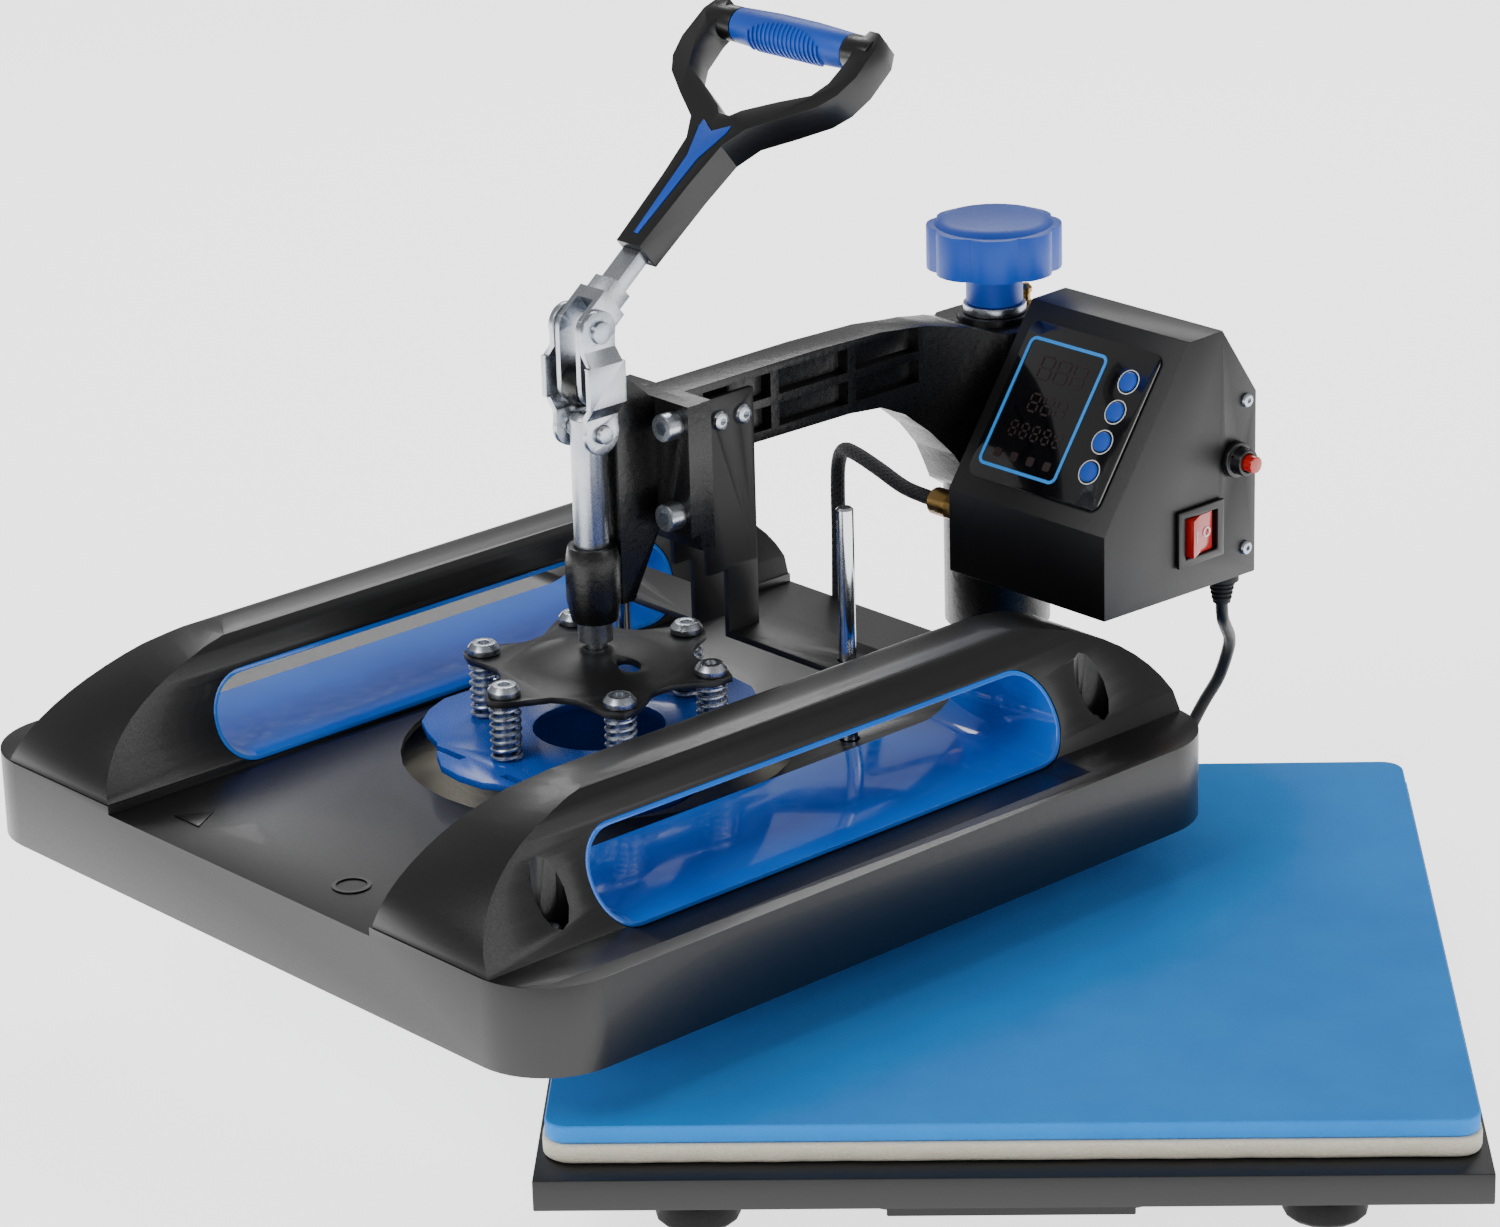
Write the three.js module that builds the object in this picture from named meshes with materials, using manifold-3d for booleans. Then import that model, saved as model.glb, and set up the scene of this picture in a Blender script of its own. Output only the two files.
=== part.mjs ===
// Swing-away heat press: lower platen on a base frame, and a post that carries a swinging arm,
// a toggle clamp, a spring-loaded upper platen under a moulded cover, and a control box.
// Millimetres, +Z up. X runs to the right and Y to the back of the closed press.
import * as THREE from 'three';
import { mergeVertices } from 'three/addons/utils/BufferGeometryUtils.js';
import ManifoldModule from 'manifold-3d';

const wasm = await ManifoldModule();
wasm.setup();

// ---------- driving dimensions ----------
const gap = 0.3;
const platenSize = 380;
const swingAway = THREE.MathUtils.degToRad(45.57);
const reach = 253.65;
const postY = platenSize / 2 + reach;
const centreShift = new THREE.Vector3(129.28, -260.23, 0);

const mat = { top: 60, thick: 8, corner: 10 };
const felt = { thick: 9, overhang: 1.5 };
const tray = { top: 43, bottom: 29.2, halfWidth: 194, front: -15, back: 395, sheet: 2.5 };
const base = { beamHalf: 30, rearHalf: 66, beamFront: 32, beamBack: 520, low: 8, barLow: 28, high: 40.2 };
const foot = { radius: 18, height: 10 };
const post = { radius: 21.5, bore: 17.5, top: 250, flangeHalf: 46, flangeLow: 40.5, flangeHigh: 48.5 };
const hub = { radius: 25.5, bore: 21.9, low: 112, high: 263, bossTop: 266, screwHole: 11 };
const screw = { radius: 8, low: 178, high: 300 };
const knob = { low: 288, high: 312, radius: 32, lobes: 8, neckRadius: 13.5, neckLow: 271 };

const arm = { half: 9.5, web: 3, low: 243, high: 277, front: 41 };
const clamp = { halfWidth: 30, back: 40.7, front: 32.7, low: 217, high: 278, ribHalf: 8, lugHalf: 5 };
const boltAt = { x: 21, low: 226, high: 268 };
const bracket = { inner: 10, sheet: 3, top: 271, footLow: 155, outer: 95 };
const rod = { x: 77.5, y: 81.6, radius: 4, low: 93.6, high: 230.5 };

const pivotZ = 290;
const crank = 26.5;
const linkLength = 47;
const pivotY = -1;
const lowerPinZ = pivotZ + crank - linkLength;
const plunger = { radius: 8, low: 160, high: 278 };
const star = { low: 155.5, thick: 3, screwRing: 54, screws: 6, domeRadius: 40, domeRise: 9 };

const cover = {
  halfWidth: 199.5, front: -205.4, back: 202.6, low: 84.2, deck: 120, shoulder: 124, wall: 3, corner: 36,
};
const ridge = { inner: 92, outer: 168, crestInner: 113, crestOuter: 139, rise: 57.5, flat: 100, end: 205 };
const tunnel = { front: -140, back: 132, low: 121.5, high: 162, corner: 19.5, wall: 2 };
const deckHole = 90;
const pockets = { x: 156, front: -161, back: 157, radius: 8, floor: 128 };
const heater = { half: 190, low: 81.3, thick: 12, corner: 14 };
const spider = { low: 125.2, thick: 3.3, radius: 82 };

const handleTilt = THREE.MathUtils.degToRad(38.5);
const grip = { at: 168, radius: 8.2, core: 5.2, half: 36.5 };
const frameHalfDepth = 7.3;
const barHalf = { width: 5.5, depth: 3.6 };
const box = { left: 32.5, right: 132.5, sheet: 2 };
const boxProfile = [[190, 160.5], [190, 201], [246, 280.5], [268, 281], [291, 247], [291, 158.5]];
const cordRadius = 3;
const coil = { x: 140, y: 440, radius: 33, columns: 3, rows: 2, pitch: 6.3 };

// ---------- materials ----------
function paint(colour, roughness, metalness) {
  return () => new THREE.MeshStandardMaterial({ color: colour, roughness, metalness });
}

const blackPlastic = paint(0x1b1b1c, 0.5, 0);
const blackSteel = paint(0x151516, 0.45, 0.4);
const blackCasting = paint(0x0e0e0f, 0.35, 0.3);
const zinc = paint(0xc4c7ca, 0.3, 1);
const chrome = paint(0xd6d8da, 0.15, 1);
const brass = paint(0xa8875a, 0.35, 1);
const bluePlastic = paint(0x2a6fc9, 0.4, 0);
const linerBlue = paint(0x0d86e0, 0.15, 0);
const spiderBlue = paint(0x1f6fd0, 0.35, 0.5);
const matBlue = paint(0x1d98e8, 0.9, 0);
const feltCream = paint(0xe6dfcb, 0.95, 0);
const rubber = paint(0x101010, 0.8, 0);
const aluminium = paint(0xb0b3b6, 0.4, 1);
const insulationGrey = paint(0xcfcabb, 0.95, 0);
const panelGloss = paint(0x0b0b0e, 0.1, 0);
const rockerRed = paint(0xd8261c, 0.3, 0);
const boardGreen = paint(0x1d5a35, 0.6, 0);

// ---------- solid helpers ----------
function toManifold(geometry) {
  const bare = geometry.clone();
  bare.deleteAttribute('normal');
  bare.deleteAttribute('uv');
  const welded = mergeVertices(bare, 1e-4);
  return new wasm.Manifold(new wasm.Mesh({
    numProp: 3,
    vertProperties: new Float32Array(welded.attributes.position.array),
    triVerts: new Uint32Array(welded.index.array),
  }));
}

function toGeometry(manifold) {
  const mesh = manifold.getMesh();
  const geometry = new THREE.BufferGeometry();
  geometry.setAttribute('position', new THREE.BufferAttribute(new Float32Array(mesh.vertProperties), 3));
  geometry.setIndex(new THREE.BufferAttribute(new Uint32Array(mesh.triVerts), 1));
  const faceted = geometry.toNonIndexed();
  faceted.computeVertexNormals();
  return faceted;
}

function join(...geometries) {
  return toGeometry(geometries.map(toManifold).reduce((sum, next) => sum.add(next)));
}

function cut(geometry, ...tools) {
  return toGeometry(tools.map(toManifold).reduce((rest, tool) => rest.subtract(tool), toManifold(geometry)));
}

function common(first, second) {
  return toGeometry(toManifold(first).intersect(toManifold(second)));
}

function block(x0, x1, y0, y1, z0, z1) {
  const geometry = new THREE.BoxGeometry(x1 - x0, y1 - y0, z1 - z0);
  return geometry.translate((x0 + x1) / 2, (y0 + y1) / 2, (z0 + z1) / 2);
}

// A closed [radius, z] profile spun about a vertical axis.
function spun(profile, x = 0, y = 0, segments = 32) {
  const points = [...profile, profile[0]].map(([r, z]) => new THREE.Vector2(r, z));
  return new THREE.LatheGeometry(points, segments).rotateX(Math.PI / 2).translate(x, y, 0);
}

function disc(radius, z0, z1, x = 0, y = 0, segments = 32) {
  const geometry = new THREE.CylinderGeometry(radius, radius, z1 - z0, segments);
  return geometry.rotateX(Math.PI / 2).translate(x, y, (z0 + z1) / 2);
}

function ring(outer, inner, z0, z1, x = 0, y = 0, segments = 32) {
  return spun([[inner, z0], [outer, z0], [outer, z1], [inner, z1]], x, y, segments);
}

// Cylinders along X and along Y.
function pinX(radius, x0, x1, y, z, segments = 20) {
  const geometry = new THREE.CylinderGeometry(radius, radius, x1 - x0, segments);
  return geometry.rotateZ(Math.PI / 2).translate((x0 + x1) / 2, y, z);
}

function pinY(radius, y0, y1, x, z, segments = 20) {
  return new THREE.CylinderGeometry(radius, radius, y1 - y0, segments).translate(x, (y0 + y1) / 2, z);
}

function outline(points) {
  return new THREE.Shape(points.map(([a, b]) => new THREE.Vector2(a, b)));
}

function slab(shape, z0, z1, curveSegments = 8) {
  const settings = { depth: z1 - z0, bevelEnabled: false, curveSegments };
  return new THREE.ExtrudeGeometry(shape, settings).translate(0, 0, z0);
}

// A shape drawn in (y, z) and run along X.
function prismX(shape, x0, x1, curveSegments = 8) {
  const axes = new THREE.Matrix4().makeBasis(
    new THREE.Vector3(0, 1, 0), new THREE.Vector3(0, 0, 1), new THREE.Vector3(1, 0, 0),
  );
  return slab(shape, x0, x1, curveSegments).applyMatrix4(axes);
}

// A shape drawn in (x, z) and run along Y.
function prismY(shape, y0, y1, curveSegments = 8) {
  return slab(shape, -y1, -y0, curveSegments).rotateX(Math.PI / 2);
}

function roundedShape(x0, x1, y0, y1, radius) {
  const shape = new THREE.Shape();
  shape.absarc(x1 - radius, y0 + radius, radius, -Math.PI / 2, 0);
  shape.absarc(x1 - radius, y1 - radius, radius, 0, Math.PI / 2);
  shape.absarc(x0 + radius, y1 - radius, radius, Math.PI / 2, Math.PI);
  shape.absarc(x0 + radius, y0 + radius, radius, Math.PI, Math.PI * 1.5);
  return shape;
}

function roundedBlock(x0, x1, y0, y1, z0, z1, radius, curveSegments = 6) {
  return slab(roundedShape(x0, x1, y0, y1, radius), z0, z1, curveSegments);
}

function tube(points, radius, steps, sides = 8) {
  const section = new THREE.Shape();
  section.absarc(0, 0, radius, 0, Math.PI * 2);
  const path = new THREE.CatmullRomCurve3(points.map((p) => new THREE.Vector3(...p)));
  const settings = { steps, extrudePath: path, curveSegments: sides / 2, bevelEnabled: false };
  return new THREE.ExtrudeGeometry(section, settings);
}

function mirrorX(geometry) {
  return toGeometry(toManifold(geometry).mirror([1, 0, 0]));
}

// Moves every edge of a convex (y, z) outline inwards.
function inset(points, distance) {
  const area = points.reduce((sum, [a, b], i) => {
    const [c, d] = points[(i + 1) % points.length];
    return sum + a * d - b * c;
  }, 0);
  const side = Math.sign(area);
  const lines = points.map(([a, b], i) => {
    const [c, d] = points[(i + 1) % points.length];
    const size = Math.hypot(c - a, d - b);
    const normal = [-side * (d - b) / size, side * (c - a) / size];
    return { normal, offset: normal[0] * a + normal[1] * b + distance };
  });
  return points.map((_, i) => {
    const p = lines[(i + points.length - 1) % points.length];
    const q = lines[i];
    const det = p.normal[0] * q.normal[1] - p.normal[1] * q.normal[0];
    return [
      (p.offset * q.normal[1] - q.offset * p.normal[1]) / det,
      (p.normal[0] * q.offset - q.normal[0] * p.offset) / det,
    ];
  });
}

function around(count, radius, start = 0) {
  return Array.from({ length: count }, (_, i) => {
    const angle = start + (i * Math.PI * 2) / count;
    return [radius * Math.cos(angle), radius * Math.sin(angle)];
  });
}

function named(name, geometry, material) {
  const mesh = new THREE.Mesh(geometry, material());
  mesh.name = name;
  return mesh;
}

// ---------- base and lower platen ----------
function baseFrame() {
  return join(
    block(-base.beamHalf, base.beamHalf, base.beamFront, base.beamBack, base.low, base.high),
    block(-51.5, 51.5, base.beamFront - 3, base.beamFront + 0.5, 3, base.high),
    block(-150, 150, 20, 72, base.barLow, base.high),
    block(-150, 150, 326, 364, base.barLow, base.high),
    block(-base.rearHalf, base.rearHalf, 478, base.beamBack, base.barLow, base.high),
  );
}

function rubberFoot(x, y) {
  const stemTop = base.barLow - gap;
  const profile = [
    [0, 0], [foot.radius - 2, 0], [foot.radius, 2], [foot.radius - 3, foot.height],
    [7, foot.height + 4], [7, stemTop], [0, stemTop],
  ];
  return spun(profile, x, y, 16);
}

function trayPan() {
  const { sheet } = tray;
  const shell = cut(
    block(-tray.halfWidth, tray.halfWidth, tray.front, tray.back, tray.bottom, tray.top),
    block(
      -tray.halfWidth + sheet, tray.halfWidth - sheet, tray.front + sheet, tray.back - sheet,
      tray.bottom - 1, tray.top - sheet,
    ),
  );
  const notchHalf = base.beamHalf + 3;
  const beamNotch = block(-notchHalf, notchHalf, tray.back - 5, tray.back + 5, 20, tray.top - sheet);
  return cut(shell, beamNotch);
}

function padSlab(half, z0, z1, corner) {
  const middle = platenSize / 2;
  return roundedBlock(-half, half, middle - half, middle + half, z0, z1, corner, 4);
}

function postTube() {
  const flange = block(
    -post.flangeHalf, post.flangeHalf, postY - post.flangeHalf, postY + post.flangeHalf,
    post.flangeLow, post.flangeHigh,
  );
  const wall = ring(post.radius, post.bore, post.flangeHigh - 4, post.top, 0, postY, 36);
  return join(flange, wall);
}

function leadNut() {
  return ring(post.bore - gap, screw.radius + gap, post.top - 28, post.top, 0, postY);
}

// ---------- lift parts and pressure knob (post axis at the origin) ----------
function leadScrew() {
  const collar = disc(14, 257.5 - 3.4, 257.5 - 0.2);
  return join(disc(screw.radius, screw.low, screw.high), collar);
}

function knobShell() {
  const shape = new THREE.Shape();
  const steps = knob.lobes * 6;
  for (let i = 0; i < steps; i += 1) {
    const angle = (i / steps) * Math.PI * 2;
    const radius = knob.radius - 2.6 * (1 - Math.abs(Math.cos((knob.lobes * angle) / 2))) ** 1.5;
    const place = [radius * Math.cos(angle), radius * Math.sin(angle)];
    if (i === 0) shape.moveTo(...place);
    else shape.lineTo(...place);
  }
  shape.closePath();
  const body = slab(shape, knob.low, knob.high - 3);
  const crown = spun([
    [0, knob.high - 4], [knob.radius - 3, knob.high - 4], [knob.radius - 6, knob.high - 1],
    [22, knob.high], [0, knob.high],
  ]);
  const neck = disc(knob.neckRadius, knob.neckLow, knob.low + 1);
  return cut(join(body, crown, neck), disc(screw.radius + gap, knob.neckLow - 1, screw.high + gap));
}

// ---------- arm (axis of the platen at the origin, post axis at y = reach) ----------
function armCasting() {
  const side = outline([
    [arm.front, arm.low], [150, 242], [170, 240], [185, 233], [200, 221], [213, 207], [226, 186], [reach, 170],
    [reach, hub.high], [236, hub.high], [222, 268], [200, 273], [170, 276.5], [130, 277.5],
    [arm.front, arm.high],
  ]);
  const plan = new THREE.Shape();
  plan.moveTo(-arm.half, arm.front);
  plan.lineTo(arm.half, arm.front);
  plan.lineTo(arm.half, 190);
  plan.quadraticCurveTo(arm.half + 2, 222, hub.radius, 240);
  plan.lineTo(hub.radius, reach);
  plan.lineTo(-hub.radius, reach);
  plan.lineTo(-hub.radius, 240);
  plan.quadraticCurveTo(-arm.half - 2, 222, -arm.half, 190);
  const beam = common(prismX(side, -30, 30), slab(plan, 100, 300));
  const sleeve = disc(hub.radius, hub.low, hub.high, 0, reach, 32);
  const boss = disc(18, hub.high - 2, hub.bossTop, 0, reach);
  const endFlange = block(-27, 27, arm.front, arm.front + 8, 208, arm.high);
  const boxLug = block(20, box.left - gap, 240, 267, 205, 235);
  const pocketColumns = [[52, 57], [60, 101], [106, 149], [154, 194]];
  const pocketRows = [[247, 258], [262, 273.5]];
  const pocketTools = pocketColumns.flatMap(([y0, y1]) => pocketRows.flatMap(([z0, z1]) => [
    block(arm.web, 40, y0, y1, z0, z1),
    block(-40, -arm.web, y0, y1, z0, z1),
  ]));
  const boltHoles = boltPlaces().map(([x, z]) => pinY(4.4, arm.front - 1, arm.front + 9, x, z, 12));
  const bore = disc(hub.bore, hub.low - 1, 253.9, 0, reach, 32);
  const screwWay = disc(hub.screwHole, 253, 270, 0, reach);
  const collarSeat = disc(14.4, 253, 257.5, 0, reach);
  return cut(
    join(beam, sleeve, boss, endFlange, boxLug, ...screwBosses()),
    ...pocketTools, ...boltHoles, bore, screwWay, collarSeat, ...bracketScrewHoles(),
  );
}

function boltPlaces() {
  return [-1, 1].flatMap((s) => [[s * boltAt.x, boltAt.low], [s * boltAt.x, boltAt.high]]);
}

const bracketScrewY = [66, 80];
const bracketScrewZ = 260;

function screwBosses() {
  return bracketScrewY.map((y) => pinX(5, -arm.half, arm.half, y, bracketScrewZ));
}

function bracketScrewHoles() {
  return bracketScrewY.flatMap((y) => [
    pinX(2.8, 4.5, 12, y, bracketScrewZ),
    pinX(2.8, -12, -4.5, y, bracketScrewZ),
  ]);
}

function clampCasting() {
  const plate = block(-clamp.halfWidth, clamp.halfWidth, clamp.front, clamp.back, clamp.low, clamp.high);
  const rib = prismX(outline([
    [10, 186], [17, 186], [clamp.front + 1, clamp.low], [clamp.front + 1, clamp.high - 2], [20, 288], [10, 296],
  ]), -clamp.ribHalf, clamp.ribHalf);
  const lug = join(
    prismX(outline([[pivotY, 281], [12, 281], [12, 295], [8, 298.5], [pivotY, 299]]), -clamp.lugHalf, clamp.lugHalf),
    pinX(9, -clamp.lugHalf, clamp.lugHalf, pivotY, pivotZ, 28),
  );
  const guide = spun([[0, 180], [10.5, 180], [12.5, 190], [12.5, 208], [11, 215], [0, 215]]);
  const guideFoot = block(-6, 6, 6, 20, 186, 212);
  const boltHoles = boltPlaces().map(([x, z]) => pinY(4.4, clamp.front - 1, clamp.back + 1, x, z, 12));
  const body = cut(join(plate, rib, lug, guide, guideFoot), ...boltHoles, disc(plunger.radius + gap, 170, 280.5));
  return join(body, pinX(4, -8.2, 8.2, pivotY, pivotZ));
}

function guideBracket() {
  const outerX = bracket.inner + bracket.sheet;
  const leg = block(bracket.inner, outerX, 57, 87, 188, bracket.top);
  const shin = block(bracket.inner, outerX, 68.7, 87, bracket.footLow, 190);
  const footTop = bracket.footLow + bracket.sheet;
  const footStrip = block(bracket.inner, bracket.outer, 68.7, 100, bracket.footLow, footTop);
  const screwHoles = bracketScrewY.map((y) => pinX(2.8, 9, 15, y, bracketScrewZ));
  const rodHole = disc(rod.radius + 0.6, 150, 160, rod.x, rod.y);
  return cut(join(leg, shin, footStrip), ...screwHoles, rodHole);
}

// ---------- toggle: handle, links and plunger ----------
function handleFork(side) {
  const x0 = clamp.lugHalf + gap;
  const x1 = x0 + 2.9;
  const cheek = join(
    pinX(8.5, x0, x1, pivotY, pivotZ, 28),
    pinX(8.5, x0, x1, pivotY, pivotZ + crank, 28),
    block(x0, x1, pivotY - 8.5, pivotY + 8.5, pivotZ, pivotZ + crank),
  );
  const bored = cut(cheek, pinX(4.3, x0 - 1, x1 + 1, pivotY, pivotZ));
  return side > 0 ? bored : mirrorX(bored);
}

// Moves a solid drawn along the bar (y = distance from the upper pin) into place.
function alongBar(geometry) {
  return geometry.rotateX(handleTilt).translate(0, pivotY, pivotZ + crank);
}

function handleBar() {
  const root = block(-8.2, 8.2, -2, 16, -8.5, 8.5);
  const shoulder = block(-6.8, 6.8, 12, 24, -6, 6);
  const shaft = block(-barHalf.width, barHalf.width, 20, 84, -barHalf.depth, barHalf.depth);
  const slot = alongBar(block(-5.3, 5.3, -12, 10, -12, 12));
  return join(handleFork(1), handleFork(-1), cut(alongBar(join(root, shoulder, shaft)), slot));
}

function tine(side) {
  const shape = outline([
    [0, 101], [11.6, 101], [18, 112], [33.6, 122], [48, 132], [54, 140], [57, 151], [56.5, 168], [52, 176],
    [46, 176], [44, 168], [45.5, 158], [44.5, 145], [40, 137], [24, 129.5], [8, 121], [0, 114],
  ].map(([x, s]) => [side * x, s]));
  return slab(shape, -frameHalfDepth, frameHalfDepth);
}

function handleFrame() {
  const stem = slab(outline([
    [-7.8, 42], [7.8, 42], [9.4, 80], [11.8, 104], [6, 117], [-6, 117], [-11.8, 104], [-9.4, 80],
  ]), -frameHalfDepth, frameHalfDepth);
  const ends = [-1, 1].map((side) => pinX(
    grip.radius, Math.min(side * grip.half, side * 52), Math.max(side * grip.half, side * 52), grip.at, 0, 20,
  ));
  const core = pinX(grip.core, -grip.half - 1, grip.half + 1, grip.at, 0, 16);
  const barSocket = block(
    -barHalf.width - gap, barHalf.width + gap, 40, 84 + gap, -barHalf.depth - gap, barHalf.depth + gap,
  );
  const inlaySeat = slab(inlayShape(gap), frameHalfDepth - 1.6, frameHalfDepth + 5);
  return alongBar(cut(join(stem, tine(-1), tine(1), ...ends, core), barSocket, inlaySeat));
}

function inlayShape(grow = 0) {
  return outline([
    [-1.2 - grow, 48 - grow], [1.2 + grow, 48 - grow], [3.4 + grow, 92], [9 + grow, 108 - grow],
    [9 + grow, 112 + grow],
    [0, 107 + grow], [-9 - grow, 112 + grow], [-9 - grow, 108 - grow], [-3.4 - grow, 92],
  ]);
}

function handleGrip() {
  const profile = [
    [grip.core + gap, -grip.half + gap], [grip.radius, -grip.half + gap], [grip.radius + 1, -12],
    [grip.radius + 1, 12], [grip.radius, grip.half - gap], [grip.core + gap, grip.half - gap],
  ];
  return alongBar(spun(profile, 0, 0, 24).rotateY(Math.PI / 2).translate(0, grip.at, 0));
}

// One joggled link plate: close to the bar at both ends and wide around the fixed pivot.
function linkPlate(side) {
  const narrow = plunger.radius + 0.7;
  const wide = 13.5;
  const thick = 3;
  const top = lowerPinZ + linkLength;
  const section = outline([
    [narrow, lowerPinZ - 12], [narrow + thick, lowerPinZ - 12], [narrow + thick, lowerPinZ + 8],
    [wide + thick, lowerPinZ + 14], [wide + thick, top - 14], [narrow + thick, top - 8],
    [narrow + thick, top + 12], [narrow, top + 12], [narrow, top - 9], [wide, top - 15],
    [wide, lowerPinZ + 15], [narrow, lowerPinZ + 9],
  ]);
  const face = join(
    pinX(9.5, 0, 30, pivotY, lowerPinZ, 28),
    pinX(9.5, 0, 30, pivotY, top, 28),
    block(0, 30, pivotY - 9, pivotY + 9, lowerPinZ, top),
    block(0, 30, pivotY - 10.5, pivotY + 10.5, lowerPinZ + 14, top - 14),
  );
  const plate = common(prismY(section, -20, 20), face);
  const rivet = pinX(5, narrow + thick - 0.5, narrow + thick + 2.5, pivotY, top);
  const both = cut(join(plate, rivet), pinX(4.3, 0, 20, pivotY, lowerPinZ));
  return side > 0 ? both : mirrorX(both);
}

function plungerRod() {
  const crown = spun([
    [0, plunger.low + 10], [plunger.radius, plunger.low + 10], [plunger.radius, plunger.high - 3],
    [plunger.radius - 3, plunger.high], [0, plunger.high],
  ]);
  const spigot = disc(5, star.low - 8, plunger.low + 12, 0, 0, 24);
  const nut = disc(9.5, star.low - 8, star.low - 3, 0, 0, 6);
  const pin = pinX(4, -plunger.radius - 6.4, plunger.radius + 6.4, pivotY, lowerPinZ);
  return join(crown, spigot, nut, pin);
}

function starPlate() {
  const shape = new THREE.Shape();
  const steps = star.screws * 8;
  for (let i = 0; i < steps; i += 1) {
    const angle = (i / steps) * Math.PI * 2;
    const lobe = (0.5 + 0.5 * Math.cos(star.screws * angle)) ** 1.6;
    const radius = 44 + (star.screwRing + 10 - 44) * lobe;
    const place = [-radius * Math.sin(angle), radius * Math.cos(angle)];
    if (i === 0) shape.moveTo(...place);
    else shape.lineTo(...place);
  }
  shape.closePath();
  const top = star.low + star.thick;
  const plate = slab(shape, star.low, top);
  const domeOuter = [];
  const domeInner = [];
  const domeSteps = 4;
  for (let i = 0; i <= domeSteps; i += 1) {
    const part = i / domeSteps;
    domeOuter.push([star.domeRadius * (1 - part), top - 0.5 + star.domeRise * Math.sin((part * Math.PI) / 2)]);
    domeInner.push([(star.domeRadius - 3) * (1 - part), top - 3.5 + star.domeRise * Math.sin((part * Math.PI) / 2)]);
  }
  const dome = spun([...domeOuter, [0, star.low - 5], [star.domeRadius, star.low - 5]], 0, 0, 24);
  const hollow = spun([...domeInner, [0, star.low - 8], [star.domeRadius - 3, star.low - 8]], 0, 0, 24);
  const below = block(-100, 100, -100, 100, star.low - 20, star.low);
  const screwHoles = starScrewPlaces().map(([x, y]) => disc(4.6, star.low - 1, top + 1, x, y, 10));
  const sideHole = disc(5.5, star.low - 5, top + 10, 22, 0, 20);
  return cut(join(plate, dome), hollow, below, disc(5 + gap, 140, 175), sideHole, ...screwHoles);
}

function starScrewPlaces() {
  return around(star.screws, star.screwRing, Math.PI / 2);
}

// ---------- upper platen and cover ----------
function heaterPlate() {
  const { half, low, thick, corner } = heater;
  const standoffTop = pockets.floor - cover.wall - gap;
  const standoffs = pocketPlaces().map(([x, y]) => disc(6, low + 1, standoffTop, x, y, 12));
  return join(roundedBlock(-half, half, -half, half, low, low + thick, corner), ...standoffs);
}

function insulationBoard() {
  const low = heater.low + heater.thick + gap;
  const board = roundedBlock(-182, 182, -182, 182, low, low + 8, 14);
  const posts = pocketPlaces().map(([x, y]) => disc(7, 80, 140, x, y, 12));
  return cut(
    board, ...posts, disc(46, 80, 140), disc(rod.radius + 1.5, 80, 140, rod.x, rod.y, 16),
    disc(rod.radius + 1.5, 80, 140, -rod.x, rod.y, 16),
  );
}

function spiderPlate() {
  const shape = new THREE.Shape();
  const steps = star.screws * 6;
  for (let i = 0; i < steps; i += 1) {
    const angle = (i / steps) * Math.PI * 2;
    const radius = spider.radius - 8 * (0.5 - 0.5 * Math.cos(star.screws * angle)) ** 2;
    const place = [-radius * Math.sin(angle), radius * Math.cos(angle)];
    if (i === 0) shape.moveTo(...place);
    else shape.lineTo(...place);
  }
  shape.closePath();
  const top = spider.low + spider.thick;
  const plate = slab(shape, spider.low, top);
  const cupLow = heater.low + heater.thick + gap;
  const cup = spun([
    [35, cupLow], [43, cupLow], [43, spider.low + 1], [35, spider.low + 1],
  ]);
  const screwHoles = starScrewPlaces().map(([x, y]) => disc(4.3, 120, 140, x, y, 10));
  const sideSlots = [-1, 1].map((s) => block(s * 24 - 10, s * 24 + 10, -70, -66, 120, 140));
  return cut(join(plate, cup), ...screwHoles, disc(30, 120, 140), ...sideSlots);
}

function shoulderScrew(x, y) {
  const headLow = star.low + star.thick + gap;
  return spun([
    [0, spider.low - 4], [4, spider.low - 4], [4, headLow], [7.5, headLow], [7.5, headLow + 2.5],
    [5.5, headLow + 5], [2.6, headLow + 5], [2.6, headLow + 2.5], [0, headLow + 2.5],
  ], x, y, 12);
}

function spring(x, y) {
  const wire = 1;
  const mean = 6.4;
  const low = spider.low + spider.thick + gap + wire;
  const high = star.low - gap - wire;
  const turns = 4;
  const stepsPerTurn = 7;
  const count = turns * stepsPerTurn;
  const points = Array.from({ length: count + 1 }, (_, i) => {
    const angle = (i / stepsPerTurn) * Math.PI * 2;
    return [x + mean * Math.cos(angle), y + mean * Math.sin(angle), low + ((high - low) * i) / count];
  });
  return tube(points, wire, count, 4);
}

function ridgeSide(drop) {
  const crest = cover.deck - drop;
  const flat = ridge.flat;
  const span = ridge.end - flat - drop;
  const shape = new THREE.Shape();
  shape.moveTo(-flat - span, 60);
  shape.lineTo(-flat - span, crest);
  shape.absellipse(-flat, crest, span, ridge.rise, Math.PI, Math.PI / 2, true);
  shape.absellipse(flat, crest, span, ridge.rise, Math.PI / 2, 0, true);
  shape.lineTo(flat + span, 60);
  return shape;
}

function ridgeSection(drop) {
  const top = cover.deck + ridge.rise - drop;
  const innerFoot = ridge.inner + drop * 1.1;
  const outerFoot = ridge.outer - drop * 1.1;
  const shape = new THREE.Shape();
  shape.moveTo(innerFoot, 60);
  shape.lineTo(innerFoot, cover.deck);
  shape.lineTo(ridge.crestInner - 7 + drop, top - 12);
  shape.quadraticCurveTo(ridge.crestInner - 3 + drop, top, ridge.crestInner + 5, top);
  shape.lineTo(ridge.crestOuter - 7, top - 0.5);
  shape.quadraticCurveTo(ridge.crestOuter + 1 - drop, top - 1, ridge.crestOuter + 6 - drop, top - 13);
  shape.lineTo(outerFoot, cover.shoulder - drop);
  shape.lineTo(outerFoot, 60);
  return shape;
}

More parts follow.
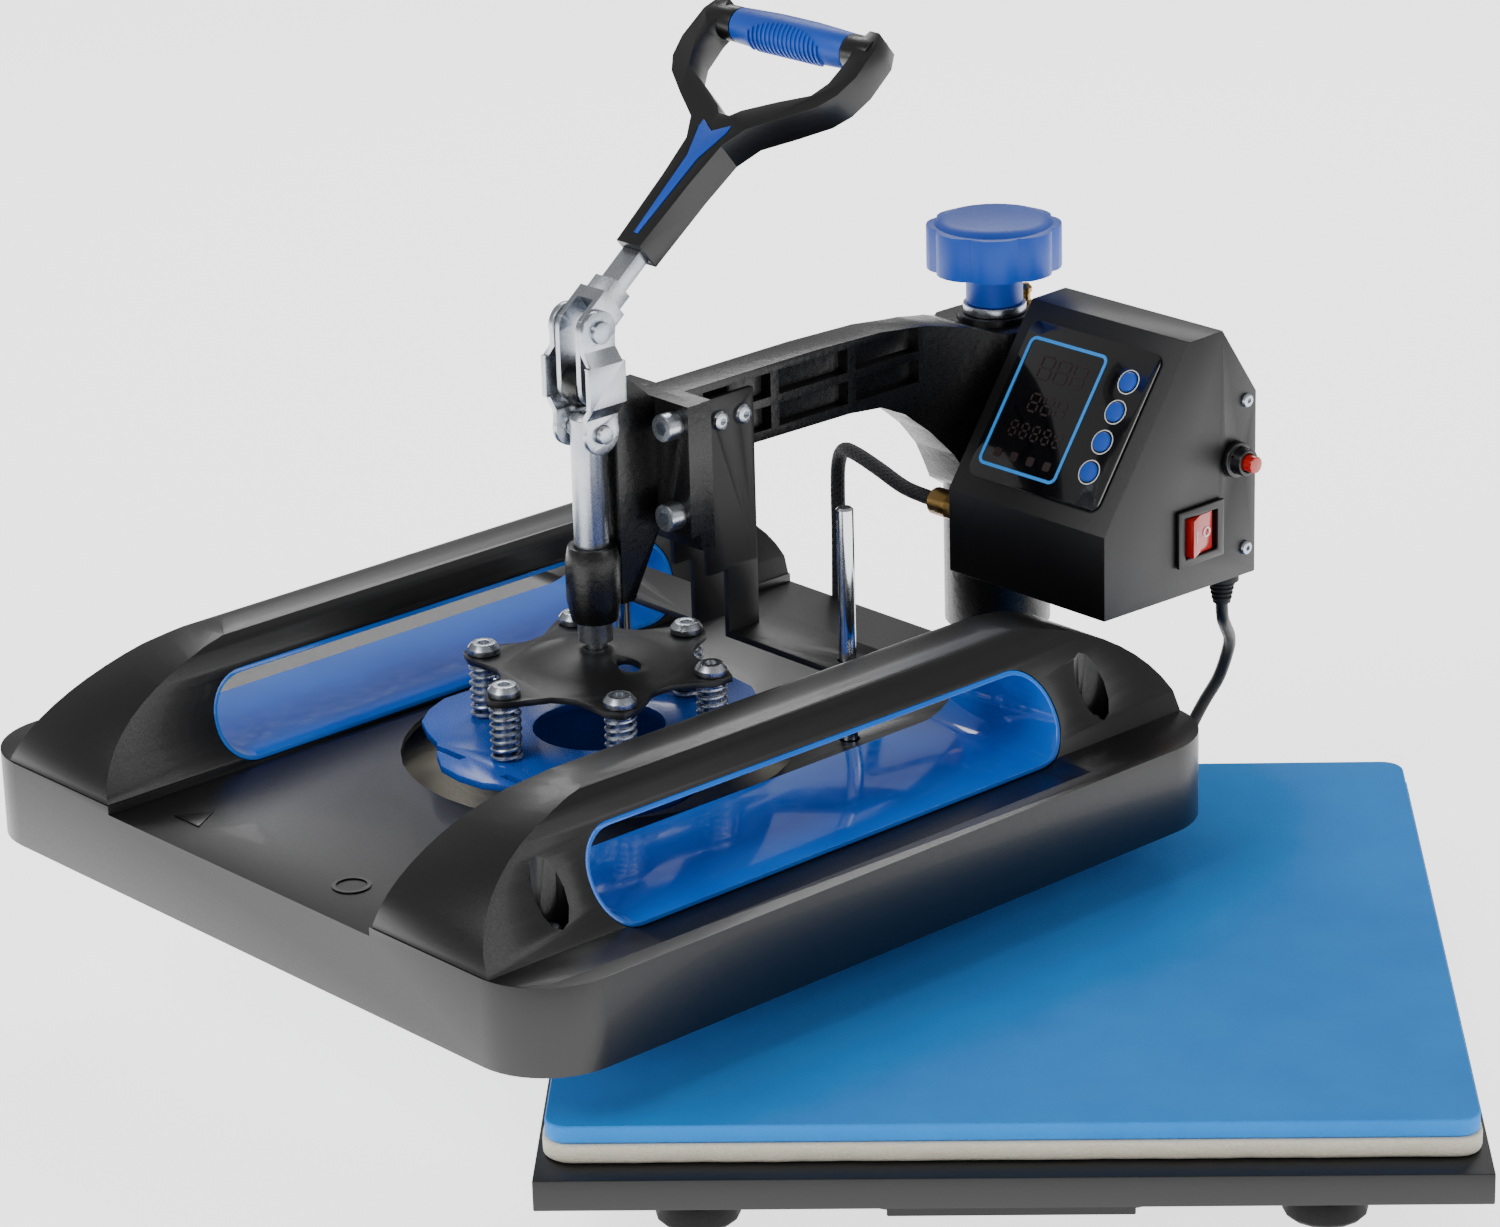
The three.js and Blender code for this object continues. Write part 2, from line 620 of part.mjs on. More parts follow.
function ridgeBody(drop) {
  return common(prismX(ridgeSide(drop), 60, 190, 7), prismY(ridgeSection(drop), -210, 210, 3));
}

function tunnelBody(grow) {
  const shape = roundedShape(
    tunnel.front - grow, tunnel.back + grow, tunnel.low - grow, tunnel.high + grow, tunnel.corner + grow,
  );
  return prismX(shape, 70, 190, 5);
}

function skirtBody(drop, top) {
  const shape = roundedShape(
    -cover.halfWidth + drop, cover.halfWidth - drop, cover.front + drop, cover.back - drop, cover.corner - drop,
  );
  return slab(shape, drop > 0 ? 60 : cover.low, top, 6);
}

function pocketPlaces() {
  return [-1, 1].flatMap((s) => [[s * pockets.x, pockets.front], [s * pockets.x, pockets.back]]);
}

function coverShell() {
  const { wall } = cover;
  const rightOuter = ridgeBody(0);
  const rightInner = ridgeBody(wall);
  const shoulders = cut(
    skirtBody(0, cover.shoulder),
    block(-ridge.inner, ridge.inner, cover.front - 1, cover.back + 1, cover.deck, 150),
  );
  const skirtReach = skirtBody(0, 200);
  const outside = join(
    shoulders, common(rightOuter, skirtReach), common(mirrorX(rightOuter), skirtReach),
  );
  const cups = pocketPlaces().map(([x, y]) => disc(pockets.radius + wall, pockets.floor - wall, 190, x, y, 12));
  const hollow = join(
    skirtBody(wall, cover.deck - wall),
    common(rightInner, skirtBody(wall, 200)),
    common(mirrorX(rightInner), skirtBody(wall, 200)),
  );
  const pocketTools = pocketPlaces().flatMap(([x, y]) => [
    disc(pockets.radius, pockets.floor, 200, x, y, 12),
    disc(2.4, 100, 200, x, y, 8),
  ]);
  const rodHoles = [-1, 1].map((s) => disc(rod.radius + 1, 100, 140, s * rod.x, rod.y, 16));
  const cableHole = pinY(4.2, cover.back - 10, cover.back + 5, -66, 100, 16);
  const tunnelTool = tunnelBody(gap);
  return cut(
    outside, cut(hollow, ...cups), ...pocketTools, disc(deckHole, 110, 130, 0, 0, 36), ...rodHoles, cableHole,
    tunnelTool, mirrorX(tunnelTool),
  );
}

function tunnelLiner() {
  const sleeve = cut(tunnelBody(0), tunnelBody(-tunnel.wall));
  return common(sleeve, ridgeBody(0.2));
}

function guideRod(side) {
  return spun([
    [0, rod.low], [rod.radius, rod.low], [rod.radius, rod.high - 1], [rod.radius - 1, rod.high], [0, rod.high],
  ], side * rod.x, rod.y, 20);
}

// ---------- control box ----------
function boxShell() {
  const outer = prismX(outline(boxProfile), box.left, box.right);
  const inner = prismX(outline(inset(boxProfile, box.sheet)), box.left + box.sheet, box.right - box.sheet);
  const backCut = block(box.left + box.sheet, box.right - box.sheet, 280, 300, 163, 243);
  const glandHole = pinX(5.6, 30, 36, glandPlace.y, glandPlace.z);
  const cordHole = disc(5.3, 150, 170, cordExit.x, cordExit.y, 16);
  const rockerHole = block(box.right - 5, box.right + 1, 239.5, 265, 175.5, 199);
  const breakerHole = pinX(6.3, box.right - 5, box.right + 1, breakerPlace.y, breakerPlace.z);
  return cut(outer, inner, backCut, glandHole, cordHole, rockerHole, breakerHole);
}

function boxBack() {
  const { left, right, sheet } = box;
  return block(left + sheet + gap, right - sheet - gap, 289, 291, 163 + gap, 243 - gap);
}

const panelTilt = Math.atan2(boxProfile[2][1] - boxProfile[1][1], boxProfile[2][0] - boxProfile[1][0]);
const panel = { left: 40, right: 123, low: 9, high: 88, thick: 1.2 };

// Moves a solid drawn on the sloping face (y up the slope, z out of it) into place.
function onPanel(geometry) {
  return geometry.rotateX(panelTilt).translate(0, boxProfile[1][0], boxProfile[1][1]);
}

function displayPanel() {
  return onPanel(roundedBlock(panel.left, panel.right, panel.low, panel.high, gap, gap + panel.thick, 6));
}

const glandPlace = { y: 200, z: 188 };
const cordExit = { x: 121, y: 281 };
const breakerPlace = { y: 276, z: 217.5 };

function cableGland() {
  const { y, z } = glandPlace;
  const body = join(
    pinX(5.2, 24, 37.5, y, z),
    pinX(7.5, 25, box.left - gap, y, z, 6),
    pinX(6.6, 14, 25.5, y, z, 16),
  );
  return cut(body, pinX(4.1, 10, 40, y, z, 12));
}

function rockerBezel() {
  const x0 = box.right + gap;
  const frame = join(
    block(x0, x0 + 2, 237, 267.5, 173.5, 201),
    block(box.right - 14, x0 + 0.5, 240, 264.5, 176, 198.5),
  );
  return cut(frame, block(box.right - 12, x0 + 5, 241.5, 263, 177.5, 197));
}

function rocker() {
  const x0 = box.right - 9;
  const plan = outline([
    [x0, 243.5], [box.right + 5.5, 243.5], [box.right + 1.5, 252.2], [box.right + 1, 260.5], [x0, 260.5],
  ]);
  return slab(plan, 178, 196.5);
}

function breakerBush() {
  const { y, z } = breakerPlace;
  const x0 = box.right + gap;
  const body = join(
    pinX(8.5, x0, x0 + 3, y, z, 24),
    pinX(6.5, x0 + 2, x0 + 9, y, z, 20),
    pinX(6, box.right - 10, x0 + 1, y, z),
  );
  return cut(body, pinX(4.4, box.right - 8, x0 + 12, y, z));
}

function breakerButton() {
  return pinX(4, box.right - 4, box.right + 14, breakerPlace.y, breakerPlace.z);
}

function controlBoard() {
  return join(
    block(44, 112, 248, 250, 180, 240),
    block(52, 80, 249.5, 264, 188, 214),
    block(88, 104, 249.5, 262, 200, 226),
  );
}

// ---------- cables ----------
function heaterCable() {
  return tube([
    [37, 200, 188], [20, 200, 188], [8, 200, 188.2], [-8, 200, 189.5], [-26, 201, 194], [-44, 203, 197],
    [-56, 206.5, 195], [-63, 209.5, 186], [-65, 210.5, 172], [-65, 210.5, 150], [-65.5, 210.5, 128],
    [-66, 210.5, 112], [-66, 209.5, 104], [-66, 206.8, 98],
  ], 3.6, 34);
}

function strainRelief() {
  const { x, y } = cordExit;
  return spun([
    [cordRadius + gap, 143], [4.3, 143], [6.3, 153], [8, 154], [8, 158], [5, 158.2], [5, 164],
    [cordRadius + gap, 164],
  ], x, y, 20);
}

function powerCord() {
  return tube([
    [104.3, 376.4, 168], [104.3, 376.4, 160], [104.3, 376.4, 150], [104.3, 376.4, 142], [104.9, 378.6, 134],
    [106.9, 387.5, 126], [109.2, 398, 117],
    [109, 404.5, 108], [105, 410, 92], [98, 416.5, 76], [92, 421.5, 60], [90, 424, 45], [90.4, 427.5, 31],
    [92.2, 432.5, 21.5], [93.4, 438, 16.6],
  ], cordRadius, 40);
}

function cordCoil() {
  const outer = coil.radius + (coil.pitch * (coil.columns - 1)) / 2 + cordRadius;
  const inner = 2 * coil.radius - outer;
  const height = coil.pitch * (coil.rows - 1) + 2 * cordRadius;
  return ring(outer, inner, gap, gap + height, coil.x, coil.y, 36);
}

function cordTail() {
  return tube([
    [100.7, 463, 3.3], [99.5, 472, 3.3], [94, 480, 3.4], [86, 482.6, 3.6], [77.5, 480, 4.6], [72.2, 474.5, 6.4],
    [71, 469.5, 7.1], [71, 466.1, 7.2],
  ], cordRadius, 18);
}

function mainsPlug() {
  const body = roundedBlock(60, 82, 426, 458, gap, 16, 5);
  const neck = pinY(4.5, 455, 465.6, 71, 7.2);
  const blades = [64.9, 77.1].map((x) => block(x - 0.8, x + 0.8, 409, 427, 5.5, 12));
  const earth = pinY(2.4, 406, 427, 71, 4.2);
  return join(body, neck, ...blades, earth);
}

// ---------- assembly ----------
const press = new THREE.Group();
press.position.copy(centreShift);

const feet = {
  foot_front_left: [-130, 37],
  foot_front_right: [130, 37],
  foot_rear_left: [-130, 345],
  foot_rear_right: [130, 345],
};

const lowerHalf = platenSize / 2;
const matLow = mat.top - mat.thick;
press.add(
  named('base_frame', baseFrame(), blackSteel),
  ...Object.entries(feet).map(([name, [x, y]]) => named(name, rubberFoot(x, y), rubber)),
  named('platen_tray', trayPan(), blackSteel),
  named('felt_pad', padSlab(lowerHalf + felt.overhang, tray.top + gap, matLow - gap, 12), feltCream),
  named('silicone_mat', padSlab(lowerHalf, matLow, mat.top, mat.corner), matBlue),
  named('post', postTube(), blackSteel),
  named('lead_nut', leadNut(), brass),
  named('power_cord', powerCord(), rubber),
  named('power_cord_coil', cordCoil(), rubber),
  named('power_cord_tail', cordTail(), rubber),
  named('mains_plug', mainsPlug(), rubber),
);

// Everything here turns about the post axis, and is drawn with the platen centre at the origin.
const swing = new THREE.Group();
swing.position.set(0, postY, 0);
swing.rotation.z = -swingAway;
press.add(swing);
swing.add(
  named('lift_collar', ring(21.5, 14.6, post.top + gap, 253.6), brass),
  named('thrust_washer', ring(15, screw.radius + gap, hub.bossTop + gap, knob.neckLow - gap), zinc),
  named('lead_screw', leadScrew(), zinc),
  named('pressure_knob', knobShell(), bluePlastic),
);

const head = new THREE.Group();
head.position.y = -reach;
swing.add(head);
const bracketRight = guideBracket();
const linerRight = tunnelLiner();
head.add(
  named('arm_casting', armCasting(), blackCasting),
  named('clamp_casting', clampCasting(), blackCasting),
  named('guide_bracket_right', bracketRight, blackSteel),
  named('guide_bracket_left', mirrorX(bracketRight), blackSteel),
  named('handle_bar', handleBar(), zinc),
  named('handle_frame', handleFrame(), blackPlastic),
  named('handle_grip', handleGrip(), bluePlastic),
  named('link_right', linkPlate(1), zinc),
  named('link_left', linkPlate(-1), zinc),
  named('plunger_rod', plungerRod(), zinc),
  named('star_plate', starPlate(), blackSteel),
  named('heater_plate', heaterPlate(), aluminium),
  named('insulation_board', insulationBoard(), insulationGrey),
  named('spider_plate', spiderPlate(), spiderBlue),
  named('cover', coverShell(), blackPlastic),
  named('liner_right', linerRight, linerBlue),
  named('liner_left', mirrorX(linerRight), linerBlue),
  named('guide_rod_right', guideRod(1), chrome),
  named('guide_rod_left', guideRod(-1), chrome),
  named('box_shell', boxShell(), blackSteel),
  named('box_back', boxBack(), blackSteel),
  named('control_board', controlBoard(), boardGreen),
  named('display_panel', displayPanel(), panelGloss),
  named('rocker_bezel', rockerBezel(), blackPlastic),
  named('rocker_switch', rocker(), rockerRed),
  named('breaker_bush', breakerBush(), blackPlastic),
  named('breaker_button', breakerButton(), rockerRed),
  named('cable_gland', cableGland(), brass),
  named('strain_relief', strainRelief(), rubber),
  named('heater_cable', heaterCable(), rubber),
);
starScrewPlaces().forEach(([x, y], i) => {
  head.add(named(`shoulder_screw_${i + 1}`, shoulderScrew(x, y), zinc));
  head.add(named(`pressure_spring_${i + 1}`, spring(x, y), zinc));
});

export default press;
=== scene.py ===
import math

import bmesh
import bpy
from mathutils import Matrix, Vector


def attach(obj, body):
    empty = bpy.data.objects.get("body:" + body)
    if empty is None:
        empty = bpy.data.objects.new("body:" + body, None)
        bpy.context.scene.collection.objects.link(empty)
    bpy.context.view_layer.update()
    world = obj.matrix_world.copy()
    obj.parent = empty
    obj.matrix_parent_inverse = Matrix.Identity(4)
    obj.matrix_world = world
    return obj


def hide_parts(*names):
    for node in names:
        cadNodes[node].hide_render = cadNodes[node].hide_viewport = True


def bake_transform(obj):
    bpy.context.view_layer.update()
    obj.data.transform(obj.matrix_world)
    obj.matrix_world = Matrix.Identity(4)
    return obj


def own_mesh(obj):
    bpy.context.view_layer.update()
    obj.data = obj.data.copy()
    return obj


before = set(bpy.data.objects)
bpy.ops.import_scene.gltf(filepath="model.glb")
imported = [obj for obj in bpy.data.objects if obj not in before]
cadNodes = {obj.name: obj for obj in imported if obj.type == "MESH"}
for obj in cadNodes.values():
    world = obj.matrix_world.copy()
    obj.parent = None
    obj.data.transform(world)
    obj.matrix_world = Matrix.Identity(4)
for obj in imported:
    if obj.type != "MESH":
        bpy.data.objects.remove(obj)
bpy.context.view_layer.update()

# places shared by every piece, in millimetres unless a name says metres
metre = 0.001
postX, postY = 129.28, 183.42
reach = 253.65
matToPost = 443.65
swingAway = math.radians(45.57)
handleTilt = math.radians(38.5)
pivotY, upperPinZ = -1, 316.5
panelFoot, panelHead = (190, 201), (246, 280.5)
panelTilt = math.atan2(panelHead[1] - panelFoot[1], panelHead[0] - panelFoot[0])

toMetres = Matrix.Scale(metre, 4)
baseFrame = toMetres @ Matrix.Translation((postX, postY - matToPost, 0))
headFrame = (
    toMetres
    @ Matrix.Translation((postX, postY, 0))
    @ Matrix.Rotation(-swingAway, 4, "Z")
    @ Matrix.Translation((0, -reach, 0))
)
# along the handle: x across, y out from the upper pin, z off the bar
barFrame = (
    headFrame
    @ Matrix.Translation((0, pivotY, upperPinZ))
    @ Matrix.Rotation(handleTilt, 4, "X")
)
# on the sloping panel: x across, y up the slope, z out of it
panelFrame = headFrame @ Matrix.Translation((0, *panelFoot)) @ Matrix.Rotation(panelTilt, 4, "X")


def facing(frameMatrix, x, y, z, turnX=0, turnY=0):
    # a place in a frame whose z axis is turned about x and then y, in degrees
    turn = Matrix.Rotation(math.radians(turnY), 4, "Y") @ Matrix.Rotation(math.radians(turnX), 4, "X")
    return frameMatrix @ Matrix.Translation((x, y, z)) @ turn


# camera
camera = {  # place in metres, turns in degrees, lens in mm
    "place": (0.11128, -2.08623, 0.969), "heading": 2.566, "tilt": 69.388, "roll": -1.611, "lens": 120.3,
    "sensor": 36, "farClip": 50,
}


def makeCamera():
    lens = bpy.data.cameras.new("camera")
    lens.lens = camera["lens"]
    lens.sensor_width = camera["sensor"]
    lens.clip_end = camera["farClip"]
    body = bpy.data.objects.new("camera", lens)
    bpy.context.scene.collection.objects.link(body)
    body.matrix_world = (
        Matrix.Translation(camera["place"])
        @ Matrix.Rotation(math.radians(camera["heading"]), 4, "Z")
        @ Matrix.Rotation(math.radians(camera["tilt"]), 4, "X")
        @ Matrix.Rotation(math.radians(camera["roll"]), 4, "Z")
    )
    bpy.context.scene.camera = body


# materials
even = (1, 1, 1)
noiseSpan = {"From Min": 0.3, "From Max": 0.7}  # where most of a noise's values lie


def linear(hexColour):
    channels = [int(hexColour[i:i + 2], 16) / 255 for i in (0, 2, 4)]
    return tuple(c / 12.92 if c <= 0.04045 else ((c + 0.055) / 1.055) ** 2.4 for c in channels) + (1,)


def addNode(tree, kind, settings=None, links=None):
    # a node with its sockets or properties set, and its inputs linked to the outputs given
    node = tree.nodes.new(kind)
    for key, value in (settings or {}).items():
        if isinstance(key, int) or key in node.inputs:
            node.inputs[key].default_value = value
        else:
            setattr(node, key, value)
    for socket, source in (links or {}).items():
        tree.links.new(source, node.inputs[socket])
    return node


def startMaterial(name, colour, roughness, metallic=0.0, noises=()):
    # a plain surface, and a pattern for each (size in mm, detail, stretch) in noises
    material = bpy.data.materials.new(name)
    material.use_nodes = True
    tree = material.node_tree
    shader = tree.nodes["Principled BSDF"]
    shader.inputs["Base Color"].default_value = linear(colour)
    shader.inputs["Roughness"].default_value = roughness
    shader.inputs["Metallic"].default_value = metallic
    place = addNode(tree, "ShaderNodeTexCoord").outputs["Object"]
    patterns = []
    for sizeMm, detail, stretch in noises:
        mapped = addNode(tree, "ShaderNodeMapping", {"Scale": stretch}, {"Vector": place})
        noise = addNode(
            tree, "ShaderNodeTexNoise", {"Scale": 1000 / sizeMm, "Detail": detail},
            {"Vector": mapped.outputs["Vector"]},
        )
        patterns.append(noise.outputs["Fac"])
    return material, tree, shader, place, patterns


def finishMaterial(tree, shader, height, depthMm, tint=None, dull=None):
    # relief from height, two shades mixed by tint's pattern, and a roughness that follows dull's pattern
    bump = addNode(
        tree, "ShaderNodeBump", {"Distance": depthMm * metre, "Strength": 1.0}, {"Height": height},
    )
    tree.links.new(bump.outputs["Normal"], shader.inputs["Normal"])
    if tint:
        pattern, low, high, first, second = tint
        share = addNode(
            tree, "ShaderNodeMapRange", {**noiseSpan, "To Min": low, "To Max": high}, {"Value": pattern},
        )
        # the colour sockets of the mix are 6 and 7, and its colour comes out of 2
        shade = addNode(
            tree, "ShaderNodeMix", {"data_type": "RGBA", 6: linear(first), 7: linear(second)},
            {0: share.outputs["Result"]},
        )
        tree.links.new(shade.outputs[2], shader.inputs["Base Color"])
    if dull:
        pattern, low, high = dull
        share = addNode(
            tree, "ShaderNodeMapRange", {**noiseSpan, "To Min": low, "To Max": high}, {"Value": pattern},
        )
        tree.links.new(share.outputs["Result"], shader.inputs["Roughness"])


def moulded(name, colour, lighter, roughness, textureMm, depthMm, coat=0.0):
    # moulded plastic: a fine spark-eroded texture over a faint cloudy change of shade
    material, tree, shader, _, (texture, cloud) = startMaterial(
        name, colour, roughness, noises=[(textureMm, 2, even), (60, 2, even)],
    )
    finishMaterial(
        tree, shader, texture, depthMm, (cloud, 0, 1, colour, lighter),
        (texture, roughness - 0.05, roughness + 0.06),
    )
    shader.inputs["Coat Weight"].default_value = coat
    return material


def coatedSteel(name, colour, lighter, roughness, peelMm, depthMm):
    # powder coat or stove enamel: the rolling skin called orange peel, with fine specks in it
    material, tree, shader, _, (peel, speck) = startMaterial(
        name, colour, roughness, noises=[(peelMm, 1, even), (peelMm / 6, 1, even)],
    )
    height = addNode(tree, "ShaderNodeMath", {"operation": "MULTIPLY_ADD", 1: 0.25}, {0: speck, 2: peel})
    finishMaterial(
        tree, shader, height.outputs[0], depthMm, (speck, 0, 1, colour, lighter),
        (speck, roughness - 0.06, roughness + 0.08),
    )
    return material


def bareMetal(name, colour, darker, roughness, streakMm, stretch, depthMm):
    # bare or plated metal: drawn-out tool marks in the roughness and height, and a patchy tint
    material, tree, shader, _, (streak, patch) = startMaterial(
        name, colour, roughness, 1.0, [(streakMm, 3, stretch), (22, 2, even)],
    )
    finishMaterial(
        tree, shader, streak, depthMm, (patch, 0, 1, colour, darker),
        (streak, roughness - 0.06, roughness + 0.1),
    )
    return material


def siliconeFoam():
    # open-celled blue silicone sponge: pinhole cells, a dusty bloom and no shine
    material, tree, shader, place, (bloom,) = startMaterial(
        "silicone_foam", "0086e0", 0.88, noises=[(35, 4, even)],
    )
    cellMm = 0.9
    cells = addNode(tree, "ShaderNodeTexVoronoi", {"Scale": 1000 / cellMm}, {"Vector": place})
    finishMaterial(tree, shader, cells.outputs["Distance"], 0.14, (bloom, 0.2, 0.8, "0080dc", "0a8ee8"))
    shader.inputs["Sheen Weight"].default_value = 0.08
    return material


def pressedFelt():
    # cream needled felt: matted fibres both ways, with darker lint caught in them
    material, tree, shader, _, (across, along) = startMaterial(
        "pressed_felt", "e9e2cd", 0.96, noises=[(1.4, 6, (1, 5, 3)), (1.4, 6, (5, 1, 3))],
    )
    fibres = addNode(tree, "ShaderNodeMath", {"operation": "MAXIMUM"}, {0: across, 1: along})
    finishMaterial(tree, shader, fibres.outputs[0], 0.5, (fibres.outputs[0], 0, 1, "cfc5a8", "f3eddc"))
    shader.inputs["Sheen Weight"].default_value = 0.6
    return material


def wovenSleeve():
    # black braided glass sleeve: two sets of strands crossing on the cable's own length
    material, tree, shader, _, _ = startMaterial("woven_sleeve", "17171a", 0.7)
    unwrapped = addNode(tree, "ShaderNodeUVMap").outputs["UV"]
    twist = []
    for turn in (1, -1):
        mapped = addNode(
            tree, "ShaderNodeMapping", {"Rotation": (0, 0, turn * math.radians(38))}, {"Vector": unwrapped},
        )
        strand = addNode(
            tree, "ShaderNodeTexWave", {"Scale": 150, "Distortion": 0.6}, {"Vector": mapped.outputs["Vector"]},
        )
        twist.append(strand.outputs["Fac"])
    braid = addNode(tree, "ShaderNodeMath", {"operation": "MAXIMUM"}, dict(enumerate(twist))).outputs[0]
    shade = addNode(
        tree, "ShaderNodeMix", {"data_type": "RGBA", 6: linear("08080a"), 7: linear("2c2c31")}, {0: braid},
    )
    tree.links.new(shade.outputs[2], shader.inputs["Base Color"])
    finishMaterial(tree, shader, braid, 0.3)
    return material


def inkWithPaintedGlow(name, colour, glow):
    # screen ink behind the gloss overlay; glow sets a painted glow, which only the blue line gets
    material, tree, shader, _, (speck,) = startMaterial(name, colour, 0.35, noises=[(0.6, 3, even)])
    # this emission is a painted glow on the ink, not a lamp
    shader.inputs["Emission Color"].default_value = linear(colour)
    shader.inputs["Emission Strength"].default_value = glow
    finishMaterial(tree, shader, speck, 0.01)
    return material


def redLens():
    # clear red polycarbonate: some light goes in, with a hard bright surface
    material, tree, shader, _, (flow,) = startMaterial("red_lens", "d21f1a", 0.18, noises=[(8, 1, even)])
    shader.inputs["Transmission Weight"].default_value = 0.25
    shader.inputs["Coat Weight"].default_value = 0.5
    finishMaterial(tree, shader, flow, 0.05)
    return material


def circuitBoard():
    # green solder mask with faint copper tracks under it
    material, tree, shader, _, (tracks,) = startMaterial(
        "solder_mask", "17522e", 0.4, noises=[(3, 0, (6, 1, 1))],
    )
    finishMaterial(tree, shader, tracks, 0.05, (tracks, 0, 1, "123f24", "2b6f3f"))
    return material


def makeMaterials():
    # a plastic: two shades, roughness, texture in mm, depth in mm and clear coat
    # a coated steel: two shades, roughness, orange peel in mm and its depth in mm
    # a bare metal: two shades, roughness, streaks in mm, their stretch and their depth in mm
    return {
        # satin black with a fine moulded grain, as on the cover
        "blackAbs": moulded("black_abs", "070707", "0c0c0d", 0.34, 0.9, 0.03, 0.05),
        # matt blue of the knob, the grip and the handle's inlay
        "bluePlastic": moulded("blue_nylon", "0345b0", "0a52c4", 0.45, 1.1, 0.05),
        # wet-looking blue of the two liners under the cover's ridges
        "linerBlue": moulded("gloss_blue", "0068d8", "0678ea", 0.12, 6, 0.01, 0.4),
        # dull black that takes no highlight, for the feet and the boot
        "rubber": moulded("black_rubber", "0c0c0d", "161617", 0.66, 0.7, 0.05),
        # slightly waxy black of a mains lead
        "cordPvc": moulded("cord_pvc", "0b0b0c", "141415", 0.45, 1.6, 0.03),
        # near mirror black of the display's overlay
        "gloss": moulded("panel_gloss", "07070a", "0a0a0e", 0.1, 25, 0.01, 0.7),
        # soft sheen with orange peel on the base, the post and the box
        "powder": coatedSteel("black_powder_coat", "070708", "0e0e10", 0.42, 2.6, 0.04),
        # glossier paint over a rough sand casting
        "casting": coatedSteel("black_cast_paint", "050506", "0c0c0d", 0.3, 3.4, 0.14),
        # deep shiny blue of the pressed plate on the cover
        "enamel": coatedSteel("blue_enamel", "0450bd", "0a60d0", 0.24, 3.0, 0.05),
        # bright plating with faint draw lines, on screws, links and the handle bar
        "zinc": bareMetal("bright_zinc", "c9ccd1", "a9b0ba", 0.27, 0.8, (1, 1, 9), 0.02),
        # mirror finish of the guide rods
        "chrome": bareMetal("hard_chrome", "dfe1e4", "cfd3d8", 0.1, 0.6, (1, 1, 12), 0.004),
        # yellow metal with rings left by turning
        "brass": bareMetal("turned_brass", "b5935c", "96773f", 0.3, 0.5, (12, 12, 1), 0.02),
        # dark oiled steel of the breaker's nut
        "steelBlack": bareMetal("black_oxide_steel", "26272a", "18191b", 0.34, 0.7, (1, 1, 6), 0.015),
        # grey milled aluminium of the heating plate
        "aluminium": bareMetal("cast_aluminium", "a9adb2", "8f949a", 0.42, 1.2, (5, 1, 1), 0.06),
        # chalky board between the heating plate and the cover
        "insulation": moulded("mineral_board", "bdb5a0", "d3ccb8", 0.94, 1.8, 0.4),
        "foam": siliconeFoam(),
        "felt": pressedFelt(),
        "sleeve": wovenSleeve(),
        "red": redLens(),
        "board": circuitBoard(),
        # flat white print, unlit figures, and a blue printed line with a little painted glow
        "whiteInk": inkWithPaintedGlow("white_ink", "e4e6e8", 0.0),
        "dimDigit": inkWithPaintedGlow("dim_digit", "2a1c1c", 0.0),
        "blueInkPaintedGlow": inkWithPaintedGlow("blue_ink_painted_glow", "2f8fe6", 0.15),
    }


# mesh helpers
edgeFinish = {"sharpDegrees": 32, "bevelDegrees": 38, "segments": 2, "weld": 0.00001}


def smoothGroup():
    # a node group that shades smooth and keeps every edge over its angle sharp
    group = bpy.data.node_groups.new("smoothByAngle", "GeometryNodeTree")
    group.interface.new_socket("Geometry", in_out="INPUT", socket_type="NodeSocketGeometry")
    group.interface.new_socket("Geometry", in_out="OUTPUT", socket_type="NodeSocketGeometry")
    enter = group.nodes.new("NodeGroupInput")
    leave = group.nodes.new("NodeGroupOutput")
    angle = group.nodes.new("GeometryNodeInputMeshEdgeAngle")
    sharp = group.nodes.new("FunctionNodeCompare")
    sharp.operation = "GREATER_THAN"
    sharp.inputs["B"].default_value = math.radians(edgeFinish["sharpDegrees"])
    faces = group.nodes.new("GeometryNodeSetShadeSmooth")
    edges = group.nodes.new("GeometryNodeSetShadeSmooth")
    edges.domain = "EDGE"
    edges.inputs["Shade Smooth"].default_value = False
    group.links.new(enter.outputs[0], faces.inputs["Geometry"])
    group.links.new(faces.outputs["Geometry"], edges.inputs["Geometry"])
    group.links.new(angle.outputs["Unsigned Angle"], sharp.inputs["A"])
    group.links.new(sharp.outputs["Result"], edges.inputs["Selection"])
    group.links.new(edges.outputs["Geometry"], leave.inputs[0])
    return group


def dress(piece, material, bevelMm=0.0):
    # gives a piece its material, rounds its edges and smooths its curved faces
    piece.data.materials.clear()
    piece.data.materials.append(material)
    weld = piece.modifiers.new("weld", "WELD")
    weld.merge_threshold = edgeFinish["weld"]
    if bevelMm:
        bevel = piece.modifiers.new("edges", "BEVEL")
        bevel.width = bevelMm * metre
        bevel.segments = edgeFinish["segments"]
        bevel.limit_method = "ANGLE"
        bevel.angle_limit = math.radians(edgeFinish["bevelDegrees"])
        bevel.use_clamp_overlap = True
    smooth = piece.modifiers.new("smooth", "NODES")
    smooth.node_group = smoothing


def makePiece(name, mesh, material, body, place=headFrame, bevelMm=0.0, replaced=()):
    # turns a bmesh drawn in a frame's millimetres into a finished piece that rides on a body
    bmesh.ops.recalc_face_normals(mesh, faces=mesh.faces)
    data = bpy.data.meshes.new(name)
    mesh.to_mesh(data)
    mesh.free()
    data.transform(place)
    piece = bpy.data.objects.new(name, data)
    bpy.context.scene.collection.objects.link(piece)
    dress(piece, material, bevelMm)
    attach(piece, body)
    if replaced:
        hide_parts(*replaced)
    return piece


